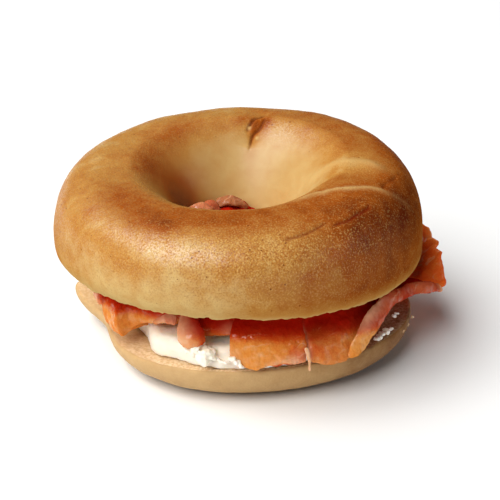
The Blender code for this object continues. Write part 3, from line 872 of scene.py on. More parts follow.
rightSlice = [
    (-73.6, 36, 28, 38, 26.5, 40.6, 22.4, 43.6, 18.6, 45.2, 16, 44, 16.2, 41, 18.4, 36, 20),
] + [
    (degrees, 33, 29, top, 26.6, shoulder, high, bend, middle, lip, low, lip - 1.5, low + 0.3,
     41, 17.8, 33, 20)
    for degrees, top, shoulder, high, bend, middle, lip, low in (
        (-71, 37.5, 39.5, 22.5, 44.6, 19.5, 45.6, 15.4), (-68, 36.6, 38.6, 21.8, 44.6, 19.6, 46.2, 14.7),
        (-65, 36.4, 38.4, 22, 44.5, 19.2, 46.3, 14), (-61.7, 37.2, 39.2, 22.8, 44.3, 19, 46.3, 13.7),
        (-58.7, 38, 40, 23.2, 44.2, 18.9, 46.2, 13.6), (-56.3, 38.5, 40.8, 23.4, 44.3, 18.6, 46, 14.2),
        (-54, 38.5, 41.4, 23.5, 44.4, 18.6, 45.8, 15), (-51, 38.5, 41.8, 23.6, 44.4, 18.8, 45.6, 15.6),
    )
] + [
    (-46, 35, 27.4, 40.2, 25.7, 42.8, 23, 43.6, 21.4, 43.6, 20, 42.2, 19.6, 40, 19, 35, 20),
    (-40, 35.5, 27, 40.6, 25.5, 42.8, 24, 43.4, 23, 43.2, 22, 42, 21.2, 40, 19.6, 35.5, 20),
    (-34, 36, 26.5, 41, 25.1, 42.9, 24.4, 43.4, 23.9, 43.2, 23.2, 41.9, 22.2, 40, 20, 36, 20),
    (-28, 36, 26, 41.5, 25, 43.4, 24.6, 44, 24.1, 43.8, 23.4, 42.2, 22.2, 40, 20, 36, 20),
    (-22, 36, 25.4, 42, 24.8, 44.2, 24.2, 44.9, 23.7, 44.6, 23, 42.8, 21.8, 40.4, 20, 36, 19.8),
    (-15, 36.5, 24.5, 44.6, 24.2, 47, 23.4, 47.8, 22.8, 47.4, 22.2, 45.4, 20.8, 41.4, 19.6, 36.5, 19.4),
    (-9, 38, 23.6, 46.6, 23.2, 50.6, 22, 51.7, 21.4, 51.2, 20.8, 48.6, 19.4, 43, 19, 38, 18.8),
    (-5, 40, 22.6, 48.6, 22.2, 52.6, 20.9, 53.9, 20.3, 53.4, 19.6, 50.4, 18.6, 44, 18.5, 40, 18.6),
]

# Rolled tongue, folded band and loose strips: angle, radius, height, half width and half thickness
tongue = (
    (-121, 35, 26.5, 2.6, 2), (-119.3, 41, 25.5, 2.7, 2.2), (-118.6, 42.5, 25, 2.8, 2.2),
    (-117.3, 44, 24.1, 3.4, 2.2), (-116, 45, 22.6, 3.8, 2.2), (-114.9, 45.4, 21.1, 3.5, 2.1),
    (-114.3, 45.5, 19.6, 2.9, 1.9),
)
foldedBand = (
    (-57.3, 46.6, 14.4, 1.0, 0.6), (-55, 46.6, 16.3, 2.1, 0.8), (-51.6, 46.4, 18.6, 2.6, 0.8),
    (-48.8, 46, 20.8, 2.8, 0.8), (-45, 45.6, 22.7, 3, 0.8), (-41, 45.2, 24, 2.8, 0.8),
    (-37, 45, 24.9, 2.5, 0.8), (-32, 45.2, 25.4, 2.1, 0.8), (-26, 45.6, 24.6, 1.8, 0.8),
    (-19.5, 46.6, 23.6, 1.8, 0.8), (-14.5, 49, 22.9, 1.9, 0.8), (-10.5, 51.6, 21.6, 2, 0.8),
    (-6.5, 54, 19.9, 1.5, 0.8), (-4, 55, 18.6, 1.7, 0.9), (-3, 56, 18, 1.6, 0.9),
)
# the strip under the drape lies in the upper half's shade; its lower tone and darker left end are
# painted shade
shadedStrip = (
    (-118.5, 38.5, 23.2, 2.8, 1), (-113.2, 39.2, 23.3, 2.9, 1), (-109, 39.5, 23.9, 2.8, 1),
    (-104.5, 39.6, 24.4, 2.8, 1), (-99.5, 40, 25, 2.6, 1),
)
tendon = (
    (-74.3, 45.6, 20.4, 0.55, 0.3), (-74, 46.1, 19.3, 0.65, 0.35), (-73.7, 46.5, 17.9, 0.6, 0.3),
    (-73.4, 46.7, 16.6, 0.5, 0.25), (-73.2, 46.7, 15.2, 0.3, 0.15), (-73.1, 46.8, 13.4, 0.2, 0.12),
)
scrap = (
    (-138.3, 41.6, 19.8, 1.0, 0.4), (-132.7, 41, 22.5, 1.6, 0.6), (-129.3, 41, 23, 1.6, 0.6),
    (-126.2, 41, 23.4, 1.4, 0.5),
)
holeTan = (
    (163.9, 22.3, 39.6, 1.8, 1.1), (162.4, 20.5, 40.8, 1.8, 1.1), (160.7, 18.8, 41.3, 1.8, 1.1),
    (158.7, 17.1, 41, 1.8, 1.1), (156.7, 15.7, 39.6, 1.8, 1.1),
)
holePink = (
    (156, 20.2, 38.5, 1.9, 1.1), (153.7, 18.5, 40.5, 1.9, 1.1), (151.4, 17.1, 41.3, 1.9, 1.1),
    (148.8, 15.8, 40.5, 1.9, 1.1), (146.3, 14.8, 38.8, 1.9, 1.1),
)
holePale = (
    (144.3, 17.5, 39.2, 1.2, 1.1), (139.7, 15.8, 40.9, 2, 1.1), (133.1, 14, 41.5, 2.3, 1.1),
    (124.8, 12.4, 41, 2, 1.1), (115.9, 11.3, 39.9, 0.9, 1.1), (110, 10.9, 38.9, 0.6, 1.1),
)


def endSizes(shares, cap, least):
    # how wide a piece is along its length, rounded off over a cap at both ends
    inward = 1.0 - np.clip(np.minimum(shares, 1.0 - shares) / cap, 0.0, 1.0)
    return np.maximum(np.sqrt(1.0 - inward ** 2), least)[:, None, None]


def roundSlice(stations):
    # dense closed sections from a slice's table, with rounded ends
    shares = np.linspace(0.0, 1.0, salmon["turns"])
    dense = curveThrough(stations, shares)
    count = (dense.shape[1] - 1) // 2
    corners = dense[:, 1:].reshape(len(shares), count, 2)
    spot = np.linspace(0.0, count, salmon["steps"], endpoint=False)
    index = spot.astype(int)
    near = [corners[:, (index + shift) % count] for shift in (-1, 0, 1, 2)]
    section = betweenPoints(*near, (spot - index)[None, :, None])
    middle = corners.mean(axis=1, keepdims=True)
    section = middle + (section - middle) * endSizes(shares, salmon["cap"], 0.04)
    angles = np.radians(dense[:, 0])[:, None] + 0.0 * section[..., 0]
    x, y = lowerPoint(angles, section[..., 0] * mm)
    grid = np.stack([x, y, section[..., 1] * mm], axis=-1)
    return grid, np.degrees(angles), spot[None, :] + 0.0 * angles


def roundStrip(rows, facing, turns, steps):
    # flattened tube along rows of angle, radius, height, half width and half thickness
    dense = curveThrough(rows, np.linspace(0.0, 1.0, turns))
    angles = np.radians(dense[:, 0])
    x, y = lowerPoint(angles, dense[:, 1] * mm)
    path = np.stack([x, y, dense[:, 2] * mm], axis=1)
    run = unit(np.gradient(path, axis=0))
    outward, upward = facing
    face = np.stack([outward * np.cos(angles), outward * np.sin(angles), upward + 0.0 * angles], axis=1)
    side = unit(np.cross(run, face))
    front = np.cross(side, run)
    turn = np.linspace(0.0, fullTurn, steps, endpoint=False)[None, :, None]
    shares = np.arange(turns) / (turns - 1)
    size = endSizes(shares, 0.10 * turns / (turns - 1), 0.05)
    width = dense[:, 3, None, None] * mm * size
    depth = dense[:, 4, None, None] * mm * size
    ring = width * side[:, None] * np.cos(turn) + depth * front[:, None] * np.sin(turn)
    return path[:, None] + ring, dense[:, :1] + 0.0 * ring[..., 0]


def closedPiece(name, grid, masks):
    # quad mesh over rows of closed sections, closed at both ends by fans
    rows, steps = grid.shape[:2]
    index = np.arange(rows * steps).reshape(rows, steps)
    nextStep = np.roll(index, -1, axis=1)
    corners = (index[:-1], nextStep[:-1], nextStep[1:], index[1:])
    quads = np.stack(corners, axis=-1).reshape(-1, 4).tolist()
    first, last = rows * steps, rows * steps + 1
    fans = [[first, nextStep[0, i], index[0, i]] for i in range(steps)]
    fans += [[last, index[-1, i], nextStep[-1, i]] for i in range(steps)]
    ends = np.stack([grid[0].mean(axis=0), grid[-1].mean(axis=0)])
    points = np.concatenate([grid.reshape(-1, 3), ends])
    mesh = bpy.data.meshes.new(name)
    mesh.from_pydata(points.tolist(), [], quads + np.array(fans).tolist())
    shape = bmesh.new()
    shape.from_mesh(mesh)
    bmesh.ops.recalc_face_normals(shape, faces=shape.faces[:])
    shape.to_mesh(mesh)
    shape.free()
    whole = {}
    for mask, values in masks.items():
        whole[mask] = np.append(values.ravel(), [values[0].mean(), values[-1].mean()])
    return finishPiece(name, mesh, whole)


def uneven(points, rows, seed, step):
    # how far each point is moved, by noise of its own along each axis
    shift = np.zeros_like(points)
    for size, reach in rows:
        for axis in range(3):
            shift[..., axis] += reach * noiseAt(points, size, seed + step * axis)
    return shift


def wavered(grid, seed, ragged=None):
    # soft unevenness of a slice; ragged is a share for the torn lip
    shift = uneven(grid, salmon["waver"], seed, 9.0)
    if ragged is not None:
        shift += uneven(grid, salmon["lipWaver"], seed, 5.0) * ragged[..., None]
    grid = grid + shift
    normals = gridNormals(grid, closed=False)
    for size, reach in salmon["grain"]:
        grid = grid + normals * (reach * noiseAt(grid, size, seed))[..., None]
    return grid


def flesh(grid, tone, pale):
    # masks of every salmon piece: place over the flakes, tone from darkest red to light orange, pale
    # fat; the tone is painted shade, darkest close under the upper half
    away = grid - np.array([*lowerHalf["centre"], 0.0])
    radius = np.hypot(away[..., 0], away[..., 1])
    angle = np.arctan2(away[..., 1], away[..., 0])
    below = upperCut(grid[..., 0], grid[..., 1]) - grid[..., 2]
    return {
        "along": (radius - away[..., 2]) / salmon["flake"],
        "across": radius * angle / salmon["flake"],
        # painted shade under the upper half, plus the piece's own tone
        "tone": salmon["outOfShadeRise"] * smoothStep(below, *salmon["shadeDepth"]) + tone,
        "pale": pale + 0.0 * radius,
    }


def spots(degrees, section, marks, count):
    # soft spots summed as tone and as pale fat, on a section that closes after this count
    tone = 0.0 * degrees
    pale = 0.0 * degrees
    for angle, place, spreadAngle, spreadPlace, toneShift, paleShift in marks:
        away = (section - place + 0.5 * count) % count - 0.5 * count
        spot = bell(degrees, angle, spreadAngle) * bell(away, 0.0, spreadPlace)
        tone = tone + toneShift * spot
        pale = pale + paleShift * spot
    return tone, pale


def makeSlice(name, stations, marks, seed):
    grid, degrees, section = roundSlice(stations)
    grid = wavered(grid, seed, bell(section, *salmon["lipPlace"]))
    return closedPiece(name, grid + upperCentre, flesh(grid, *spots(degrees, section, marks, 8)))


def makeStrip(name, rows, facing, seed, tone=0.0, pale=0.0, marks=(), turns=60, steps=28, cured=0.0):
    # marks are placed from -1 to 1 over the strip's width, and cured turns it brown
    strip, degrees = roundStrip(rows, facing, turns, steps)
    grid = wavered(strip, seed)
    section = np.cos(np.linspace(0.0, fullTurn, steps, endpoint=False))[None, :] + 0.0 * degrees
    toneShift, paleShift = spots(degrees, section, marks, 100)
    masks = flesh(grid, tone + toneShift, pale + paleShift)
    masks["cured"] = cured + 0.0 * degrees
    return closedPiece(name, grid + upperCentre, masks)


def smoothCopy(name, nodeName, levels):
    # the solid's outline as quads, subdivided into a soft surface
    shape = bmesh.new()
    shape.from_mesh(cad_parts[nodeName].data)
    bmesh.ops.remove_doubles(shape, verts=shape.verts[:], dist=0.001 * mm)
    bmesh.ops.join_triangles(
        shape,
        faces=shape.faces[:],
        angle_face_threshold=math.radians(40.0),
        angle_shape_threshold=math.radians(60.0),
    )
    mesh = bpy.data.meshes.new(name)
    shape.to_mesh(mesh)
    shape.free()
    mesh.materials.clear()
    cage = placed(name, mesh)
    smoother = cage.modifiers.new("smooth", "SUBSURF")
    smoother.levels = levels
    smoother.render_levels = levels
    dense = finalMesh(cage)
    bpy.data.meshes.remove(mesh)
    return dense


# The flap. Its edge stands out or in: degrees round the lower half, millimetres
flap = {
    "edge": (
        (-4, 0.0), (-1, -0.2), (2, 0.0), (5, -0.1), (7.2, 0.6), (9, -0.6), (10.3, -0.9), (12.3, 1.3),
        (14.5, -0.7), (16.5, 0.0), (19, 0.6), (22, 0.2), (28, 0.0),
    ),
    "edgeFrom": (48.0 * mm, 56.0 * mm),
    "furthest": 63.49 * mm,
    "outer": (54.0 * mm, 62.0 * mm),
    "top": (24.5 * mm, 28.0 * mm),
    # painted light: the flap's colour is pushed towards a lit red, less towards its outer edge
    "paintedLightTo": (54.0 * mm, 61.0 * mm),
    "paintedLightLoss": 0.7,
    "tones": (0.56, 0.06, 0.12),  # all over, added outside and added on top
    "topPale": 0.10,
}

# The fold in the hole: how far it is pressed down above a level, from left to right
fold = {
    "level": 36.0 * mm,
    "kept": (0.55, 0.30),
    "keptFrom": (1.5 * mm, 4.0 * mm),
    "shadeFrom": (0.0, 5.0 * mm),
    "tones": (0.52, 0.50),  # in the light, and how much is lost in the shade
    "pale": 0.15,
}


def pushedFlap(points):
    # the torn outer edge, inside the solid's box, with the flap's tones and its painted light, which
    # fades towards the outer edge
    away = points[:, :2] - np.array(lowerHalf["centre"])
    radius = np.hypot(away[:, 0], away[:, 1])
    table = np.array(flap["edge"])
    push = np.interp(np.degrees(np.arctan2(away[:, 1], away[:, 0])), table[:, 0], table[:, 1]) * mm
    push = push * smoothStep(radius, *flap["edgeFrom"])
    points[:, :2] += away / radius[:, None] * push[:, None]
    points[:, 0] = np.minimum(points[:, 0], flap["furthest"])
    top = smoothStep(points[:, 2], *flap["top"])
    allOver, outside, onTop = flap["tones"]
    tone = allOver + outside * smoothStep(points[:, 0], *flap["outer"]) + onTop * top
    bright = 1.0 - flap["paintedLightLoss"] * smoothStep(points[:, 0], *flap["paintedLightTo"])
    return points, tone, flap["topPale"] * top, bright


def loweredFold(points):
    # under the loose strips that lie on it, and in their shade
    share, less = fold["kept"]
    low = share - less * smoothStep(points[:, 0], *fold["keptFrom"])
    points[:, 2] -= np.maximum(points[:, 2] - fold["level"], 0.0) * (1.0 - low)
    under = smoothStep(points[:, 1], *fold["shadeFrom"])
    light, loss = fold["tones"]
    return points, light - loss * under, fold["pale"] * (1.0 - under), 0.0


def plain(points):
    return points, salmon["rearTone"], 0.0, 0.0


def followSolid(name, nodeName, seed, shaped=plain, levels=3):
    # a slice that follows its solid, smoothed and made uneven
    mesh = smoothCopy(name, nodeName, levels)
    points = vertexValues(mesh, "vertices", "co") - upperCentre
    shift = uneven(points, salmon["waver"] + salmon["lipWaver"], seed, 9.0)
    points, tone, pale, bright = shaped(points + shift)
    mesh.vertices.foreach_set("co", (points + upperCentre).ravel())
    mesh.update()
    masks = flesh(points, tone, pale)
    masks["bright"] = bright + 0.0 * points[:, 0]
    return finishPiece(name, mesh, masks)


# Spots on the salmon: degrees, place on the section, both spreads, tone and pale fat added
leftMarks = (
    (-156, 3.0, 9, 1.6, 0.10, 0.0), (-156, 4.0, 9, 0.7, -0.08, 0.15), (-166, 3.4, 5, 2.0, 0.15, 0.40),
    (-163, 4.4, 3, 0.8, 0.0, 0.5), (-136, 4.2, 8, 0.7, 0.05, 0.45), (-142, 3.2, 7, 1.0, 0.05, 0.0),
)
drapeMarks = (
    (-92, 3.6, 9, 0.9, 0.08, 0.0), (-101, 3.8, 4, 1.0, 0.20, 0.5), (-86, 4.0, 4, 0.5, 0.0, 0.4),
    (-79, 3.9, 5, 0.5, 0.0, 0.45), (-76, 3.5, 4, 1.2, -0.25, 0.2),
    # the two rows below paint dark gaps under the lip: painted shadow
    (-84.5, 4.2, 1.4, 0.22, -0.6, -0.8), (-81.0, 4.2, 1.2, 0.22, -0.6, -0.8),
)
rightMarks = (
    (-62, 2.0, 14, 0.9, -0.05, 0.0), (-66, 3.0, 14, 0.8, -0.12, 0.10), (-73, 3.2, 1.6, 1.4, -0.1, 0.5),
    (-63, 4.0, 14, 0.6, 0.02, 0.15), (-30, 3.0, 20, 1.2, 0.4, 0.1),
)
tongueMarks = ((-116, 0.9, 6, 1.2, 0.05, 0.62), (-117, -0.9, 6, 0.5, -0.30, 0.0))
bandMarks = (
    (-45, -1.0, 7, 0.9, 0.0, 0.5), (-36, 0.0, 14, 2.0, 0.38, 0.22), (-12, 0.0, 10, 2.0, 0.42, 0.22),
    (-3.6, 0.0, 2.2, 2.0, 0.45, 0.4),
)
# the first row darkens the strip's left end: painted shade
underMarks = ((-118, 0.0, 5, 3.0, -0.15, 0.0), (-101, 0.4, 6, 0.9, 0.2, 0.35))
paleMarks = ((140, 0.6, 3, 0.4, -0.5, 0.0), (126, -0.5, 3, 0.4, -0.4, 0.0))

# Grid sizes and marks of the larger strips, and the way the ones in the hole face
bandGrid = {"turns": 240, "steps": 48, "marks": bandMarks}
tongueGrid = {"turns": 120, "steps": 80, "marks": tongueMarks}
underGrid = {"turns": 90, "steps": 48, "marks": underMarks}
holeStrip = {"facing": (-0.3, 1.0), "turns": 70, "steps": 36}
paleStrip = {"facing": (-0.3, 1.0), "turns": 90, "steps": 36, "marks": paleMarks}

slices = {
    "salmon_left": makeSlice("salmonLeft", leftFold, leftMarks, seed=61.0),
    "salmon_front": makeSlice("salmonFront", centreDrape, drapeMarks, seed=67.0),
    "salmon_right": makeSlice("salmonRight", rightSlice, rightMarks, seed=73.0),
    "salmon_roll": makeStrip("salmonRoll", tongue, (0.6, 1.0), seed=79.0, **tongueGrid),
    "salmon_flap": followSolid("salmonFlap", "salmon_flap", seed=83.0, shaped=pushedFlap, levels=4),
    "salmon_rear": followSolid("salmonRear", "salmon_rear", seed=89.0),
    "salmon_rear_left": followSolid("salmonRearLeft", "salmon_rear_left", seed=97.0),
    "salmon_fold": followSolid("salmonFold", "salmon_fold", seed=103.0, shaped=loweredFold),
}
salmonExtras = [
    makeStrip("salmonBand", foldedBand, (1.0, 0.5), seed=107.0, tone=0.05, **bandGrid),
    # painted shade: the strip under the drape is made darker
    makeStrip("salmonUnder", shadedStrip, (1.0, 0.25), seed=109.0, tone=-0.15, **underGrid),
    makeStrip("salmonTendon", tendon, (1.0, 0.2), seed=113.0, tone=0.4, pale=0.7, turns=50, steps=12),
    makeStrip("salmonScrap", scrap, (1.0, 0.4), seed=117.0, tone=-0.05, pale=0.45, turns=50, steps=24),
    makeStrip("salmonHoleTan", holeTan, seed=121.0, tone=0.60, pale=0.30, cured=0.35, **holeStrip),
    makeStrip("salmonHolePink", holePink, seed=127.0, tone=0.44, pale=0.18, cured=0.35, **holeStrip),
    makeStrip("salmonHolePale", holePale, seed=131.0, tone=0.50, pale=0.12, cured=0.75, **paleStrip),
]
print("salmon made:", sum(len(piece.data.polygons) for piece in slices.values()), "faces")


# Materials
crustLook = {
    "tan": linear(192, 161, 104),
    "gold": linear(172, 120, 56),
    "brown": linear(146, 74, 19),
    "dark": linear(94, 32, 6),
    "ridge": linear(200, 166, 106),
    "sparkle": linear(206, 170, 104),
    "speckle": linear(124, 58, 15),
    "crack": linear(104, 26, 5),
    "seam": linear(112, 52, 18),
    "crumb": linear(236, 212, 174),
    "ramp": ((0.0, "tan"), (0.30, "gold"), (0.66, "brown"), (1.0, "dark")),
    "lowFrom": (0.25, 1.0),
    "wallFrom": (2.12, 2.42),
    "bake": (0.04, 0.27, 0.24),  # at the cut, gained above it and lost in the hole
    "uneven": (0.20, 0.22),
    "mottle": 13.0 * mm,
    "blotch": 4.0 * mm,
    "fleck": 0.48 * mm,
    # where the flecks start and are full, their share and colour; the pale flecks are partly the crust's
    # own pale specks, partly painted glints
    "flecks": ((0.54, 0.66, 0.5, "sparkle"), (0.45, 0.33, 0.55, "speckle")),
    "dots": 3.6 * mm,
    "dotEdge": (0.095, 0.045),
    "dotShare": 0.8,
    "roughness": (0.48, 0.2),
    "glossFrom": (0.8, 1.5),
    "glossBroken": (0.62, 0.38, 0.0, 0.85),
    "wallMatt": 0.45,
    "bumps": 0.55 * mm,
    "bumpDepth": 0.15 * mm,
    # mask, share and colour of the marks that are painted over the bake
    "marks": (
        ("pit", 0.5, "dark"),
        ("crack", 0.9, "crack"),
        ("gash", 0.9, "seam"),
        ("fleck", 0.8, "ridge"),
    ),
    "fixed": {
        "Coat Roughness": 0.33,
        "Coat IOR": 1.6,
        "Specular IOR Level": 0.0,
        "Subsurface Weight": 0.05,
        "Subsurface Scale": 1.5 * mm,
        "Subsurface Radius": (1.0, 0.5, 0.25),
    },
}


def upperCrustPaint():
    values = crustLook
    paint = Paint("upperCrust")
    place = paint.place()
    section = paint.mask("place")
    mottle = paint.grain(place, values["mottle"], 3.0)
    blotch = paint.grain(place, values["blotch"], 3.0, 0.4)
    fleck = paint.grain(place, values["fleck"], 1.0)
    low = paint.fit(section, *values["lowFrom"])
    wall = paint.fit(section, *values["wallFrom"])
    outside = low * (1.0 - wall)
    atCut, gained, lost = values["bake"]
    # the bake from the cut to the hole, plus the spots' bake colour and painted shade
    brown = atCut + gained * low - lost * wall + paint.mask("baked")
    inside, more = values["uneven"]
    brown = brown + (inside + more * outside) * ((mottle - 0.5) + (blotch - 0.5))
    colour = paint.ramp(brown, values)
    # flecks, strongest on the lit front: the pale ones are partly painted glints
    grainy = outside * paint.mask("grainy")
    for start, full, share, tint in values["flecks"]:
        colour = paint.blend(paint.fit(fleck, start, full) * grainy * share, colour, values[tint])
    # the twist's ridges painted paler: partly the crust's own paler colour, partly a painted highlight
    # along the far one
    colour = paint.blend(paint.mask("ridge") * (0.55 + 0.8 * (blotch - 0.5)), colour, values["ridge"])
    for mask, share, tint in values["marks"]:
        colour = paint.blend(paint.mask(mask) * share, colour, values[tint])
    dots = paint.fit(paint.cells(place, values["dots"]), *values["dotEdge"]) * outside
    colour = paint.blend(dots * values["dotShare"], colour, values["dark"])
    colour = paint.blend(paint.mask("crumb"), colour, values["crumb"])
    bumps = paint.grain(place, values["bumps"], 1.0)
    normal = paint.bump(bumps * (0.06 + outside), values["bumpDepth"], 1.0)
    broken = 1.0 - outside * paint.fit(bumps, *values["glossBroken"])
    shown = paint.fit(section, *values["glossFrom"]) * (1.0 - paint.mask("crumb"))
    shown = shown * (1.0 - values["wallMatt"] * wall)
    rough, varied = values["roughness"]
    varying = {
        "Base Color": colour,
        "Roughness": rough + varied * blotch,
        "Coat Weight": paint.mask("glossy") * shown * broken,
        "Normal": normal,
    }
    return paint.shine(values["fixed"], varying)


lowerLook = {
    "pale": linear(206, 172, 122),
    "tan": linear(176, 138, 90),
    "brown": linear(124, 78, 38),
    "dark": linear(74, 34, 12),
    "crumb": linear(242, 216, 178),
    "crumbShade": linear(216, 180, 134),
    "ramp": ((0.0, "pale"), (0.45, "tan"), (0.8, "brown"), (1.0, "dark")),
    "bake": (0.22, 0.34, 0.30, 0.14),  # all over, then by broad, smaller and fine noise
    "darker": (0.52, 0.30),  # at the right and at the base
    "mottle": 11.0 * mm,
    "blotch": 3.5 * mm,
    "pores": 0.9 * mm,
    "bumps": 0.8 * mm,
    "bumpDepth": 0.14 * mm,
    "fixed": {
        "Roughness": 0.6,
        "Specular IOR Level": 0.12,
        "Subsurface Weight": 0.08,
        "Subsurface Scale": 1.5 * mm,
        "Subsurface Radius": (1.0, 0.6, 0.3),
    },
}


def lowerCrustPaint():
    values = lowerLook
    paint = Paint("lowerCrust")
    place = paint.place()
    mottle = paint.grain(place, values["mottle"], 3.0)
    blotch = paint.grain(place, values["blotch"], 3.0, 0.4)
    fine = paint.grain(place, values["bumps"], 2.0)
    right = paint.mask("rightSide")
    allOver, broad, small, least = values["bake"]
    brown = allOver + broad * (mottle - 0.5) + small * (blotch - 0.5) + least * (fine - 0.5)
    atRight, atBase = values["darker"]
    brown = brown + atRight * right + atBase * paint.mask("base")
    colour = paint.ramp(brown, values)
    pore = paint.grain(place, values["pores"], 3.0)
    cut = paint.blend(paint.fit(pore, 0.35, 0.65), values["crumb"], values["crumbShade"])
    # the cut face turns brown towards the right: painted shade under the band and flap
    shadedCut = paint.fit(right, 0.1, 0.6) * (0.60 + 0.8 * (pore - 0.5))
    cut = paint.blend(shadedCut, cut, values["brown"])
    colour = paint.blend(paint.mask("crumb"), colour, cut)
    normal = paint.bump(fine, values["bumpDepth"], 1.0)
    return paint.shine(values["fixed"], {"Base Color": colour, "Normal": normal})


cheeseLook = {
    "light": linear(255, 248, 234),
    "shade": linear(250, 236, 216),
    "tint": 5.0 * mm,
    "bumps": 1.1 * mm,
    "bumpDepth": 0.25 * mm,
    "fixed": {
        "Roughness": 0.48,
        "Subsurface Weight": 0.35,
        "Subsurface Scale": 2.5 * mm,
        "Subsurface Radius": (1.0, 0.8, 0.55),
    },
}


def cheesePaint():
    values = cheeseLook
    paint = Paint("creamCheese")
    place = paint.place()
    colour = paint.blend(paint.grain(place, values["tint"], 3.0), values["light"], values["shade"])
    normal = paint.bump(paint.grain(place, values["bumps"], 4.0), values["bumpDepth"], 0.8)
    return paint.shine(values["fixed"], {"Base Color": colour, "Normal": normal})


salmonLook = {
    # the darkest red is painted shade under the upper half
    "shadedDeepRed": linear(154, 20, 6),
    "red": linear(166, 40, 12),
    "coral": linear(190, 76, 24),
    "orange": linear(212, 132, 56),
    "light": linear(220, 156, 86),
    "pale": linear(222, 172, 134),
    # a lit red for the flap: painted light
    "bright": linear(255, 84, 20),
    "cured": linear(134, 92, 60),
    "ramp": ((0.0, "shadedDeepRed"), (0.3, "red"), (0.55, "coral"), (0.8, "orange"), (1.0, "light")),
    "noise": (0.30, 0.22, 0.22),  # how far cloud, streak and fine noise shift the tone
    "cloud": 8.0 * mm,
    "streak": 2.0 * mm,
    "fine": 0.45 * mm,
    "bumps": 0.9 * mm,
    "bumpDepth": 0.18 * mm,
    "lineShare": 0.3,
    "lineFrom": (0.80, 1.0),
    "lineClouds": (0.45, 0.65),
    "shownFrom": (0.2, 0.5),
    "paintedLightShare": 0.75,
    "roughness": (0.30, 0.2),
    "gloss": (0.45, 0.58, 0.0, 0.7),
    "fixed": {
        "Coat Roughness": 0.10,
        "Specular IOR Level": 0.0,
        "Subsurface Weight": 0.15,
        "Subsurface Scale": 1.5 * mm,
        "Subsurface Radius": (1.0, 0.30, 0.12),
    },
}


def salmonPaint():
    values = salmonLook
    paint = Paint("smokedSalmon")
    place = paint.place()
    cloud = paint.grain(place, values["cloud"], 2.0)
    small = paint.grain(place, values["streak"], 3.0)
    fine = paint.grain(place, values["fine"], 1.0)
    run = paint.mask("along") + 0.22 * paint.mask("across") + 1.6 * cloud + 0.5 * small
    wave = paint.node("ShaderNodeMath", {"operation": "SINE"}, {0: run * fullTurn})
    lines = paint.fit(wave, *values["lineFrom"]) * paint.fit(cloud, *values["lineClouds"])
    tone = paint.mask("tone")
    for share, grain in zip(values["noise"], (cloud, small, fine)):
        tone = tone + share * (grain - 0.5)
    colour = paint.ramp(tone, values)
    # painted light on the flap, which lies in the bagel's shadow
    colour = paint.blend(paint.mask("bright") * values["paintedLightShare"], colour, values["bright"])
    colour = paint.blend(paint.mask("cured"), colour, values["cured"])
    fat = paint.mask("pale") * (1.0 + 0.6 * (small - 0.5))
    colour = paint.blend(paint.fit(fat, 0.0, 1.0), colour, values["pale"])
    shown = paint.fit(tone, *values["shownFrom"])
    colour = paint.blend(lines * shown * values["lineShare"], colour, values["pale"])
    bumps = paint.grain(place, values["bumps"], 3.0)
    normal = paint.bump(bumps + 0.4 * lines, values["bumpDepth"], 0.8)
    rough, varied = values["roughness"]
    varying = {
        "Base Color": colour,
        "Roughness": rough + varied * small,
        "Coat Weight": shown * paint.fit(small, *values["gloss"]),
        "Normal": normal,
    }
    return paint.shine(values["fixed"], varying)


settle(upperBread, upperCrustPaint(), "golden_crust", "bagel_top")
lowerMaterial = lowerCrustPaint()
settle(lowerBread, lowerMaterial, "pale_crust", "bagel_bottom")
settle(breadCrumbs, lowerMaterial, "pale_crust")
cheeseMaterial = cheesePaint()
settle(creamCheese, cheeseMaterial, "cream_cheese", "cream_cheese")
settle(cheeseCurds, cheeseMaterial, "cream_cheese")
salmonMaterial = salmonPaint()
for nodeName, piece in slices.items():
    settle(piece, salmonMaterial, "smoked_salmon", nodeName)
for piece in salmonExtras:
    settle(piece, salmonMaterial, "smoked_salmon")
print("materials made")


# Floor, light and camera
studio = {
    "floorSize": 6.0,
    "floorColour": (0.86, 0.86, 0.85, 1.0),
    "worldColour": (1.0, 1.0, 1.0, 1.0),
    "worldStrength": 0.05,
    # azimuth and elevation in degrees, distance, size and power of each light
    "key": (-136.0, 49.0, 4.0, 4.0, 228.0),
    "top": (165.0, 55.0, 3.2, 2.6, 60.0),
    "fill": (-14.0, 14.0, 4.0, 3.0, 26.0),
}

# The photo's view: it is 500 pixels square, and the aim falls on aimPixel
photoView = {
    "pixels": 500,
    "aimPixel": (238.6, 256.1),
    "aimHeight": 27.0 * mm,
    "elevation": 26.0,
    "distance": 0.450,
    "focalPixels": 1471.5,
    "sensor": 36.0,
}


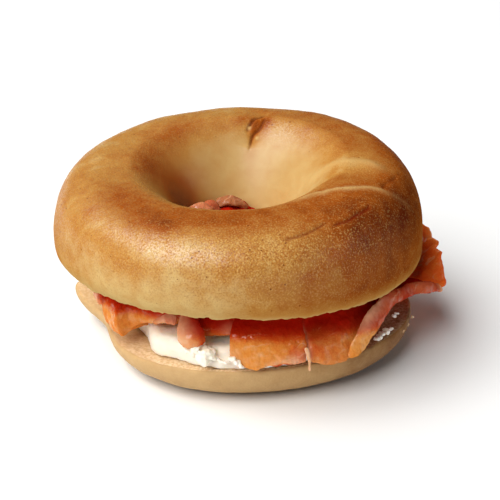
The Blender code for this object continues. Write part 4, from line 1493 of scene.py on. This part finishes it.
def makeFloor():
    mesh = bpy.data.meshes.new("floor")
    half = 0.5 * studio["floorSize"]
    corners = [(-half, -half, 0.0), (half, -half, 0.0), (half, half, 0.0), (-half, half, 0.0)]
    mesh.from_pydata(corners, [], [(0, 1, 2, 3)])
    floor = placed("floor", mesh)
    paint = Paint("paleFloor")
    floor.data.materials.append(paint.shine({"Base Color": studio["floorColour"], "Roughness": 0.8}, {}))


def makeLight(name, aim):
    azimuth, elevation, distance, size, power = studio[name]
    lamp = bpy.data.lights.new(name, "AREA")
    lamp.shape = "DISK"
    lamp.size = size
    lamp.energy = power
    turn = math.radians(azimuth)
    rise = math.radians(elevation)
    toLight = Vector((math.cos(rise) * math.cos(turn), math.cos(rise) * math.sin(turn), math.sin(rise)))
    light = placed(name, lamp)
    light.location = aim + distance * toLight
    light.rotation_euler = toLight.to_track_quat("Z", "Y").to_euler()


def makeCamera():
    view = photoView
    tilt = math.radians(view["elevation"])
    target = Vector((upperCentre[0], upperCentre[1], view["aimHeight"]))
    toCamera = Vector((0.0, -math.cos(tilt), math.sin(tilt)))
    upward = Vector((0.0, math.sin(tilt), math.cos(tilt)))
    pixel = view["distance"] / view["focalPixels"]
    middle = 0.5 * view["pixels"]
    aimX, aimY = view["aimPixel"]
    aim = target + Vector(((middle - aimX) * pixel, 0.0, 0.0)) + upward * ((aimY - middle) * pixel)
    place = target + view["distance"] * toCamera
    lens = bpy.data.cameras.new("photoCamera")
    lens.sensor_width = view["sensor"]
    lens.lens = view["focalPixels"] * view["sensor"] / view["pixels"]
    camera = placed("photoCamera", lens)
    camera.location = place
    camera.rotation_euler = (aim - place).to_track_quat("-Z", "Y").to_euler()
    bpy.context.scene.camera = camera


makeFloor()
world = bpy.data.worlds.new("studio")
world.use_nodes = True
background = world.node_tree.nodes["Background"]
background.inputs["Color"].default_value = studio["worldColour"]
background.inputs["Strength"].default_value = studio["worldStrength"]
bpy.context.scene.world = world
lookAt = Vector((0.0, 0.0, photoView["aimHeight"]))
for lightName in ("key", "top", "fill"):
    makeLight(lightName, lookAt)
makeCamera()
bpy.context.scene.view_settings.view_transform = "Standard"
print("studio and camera made")
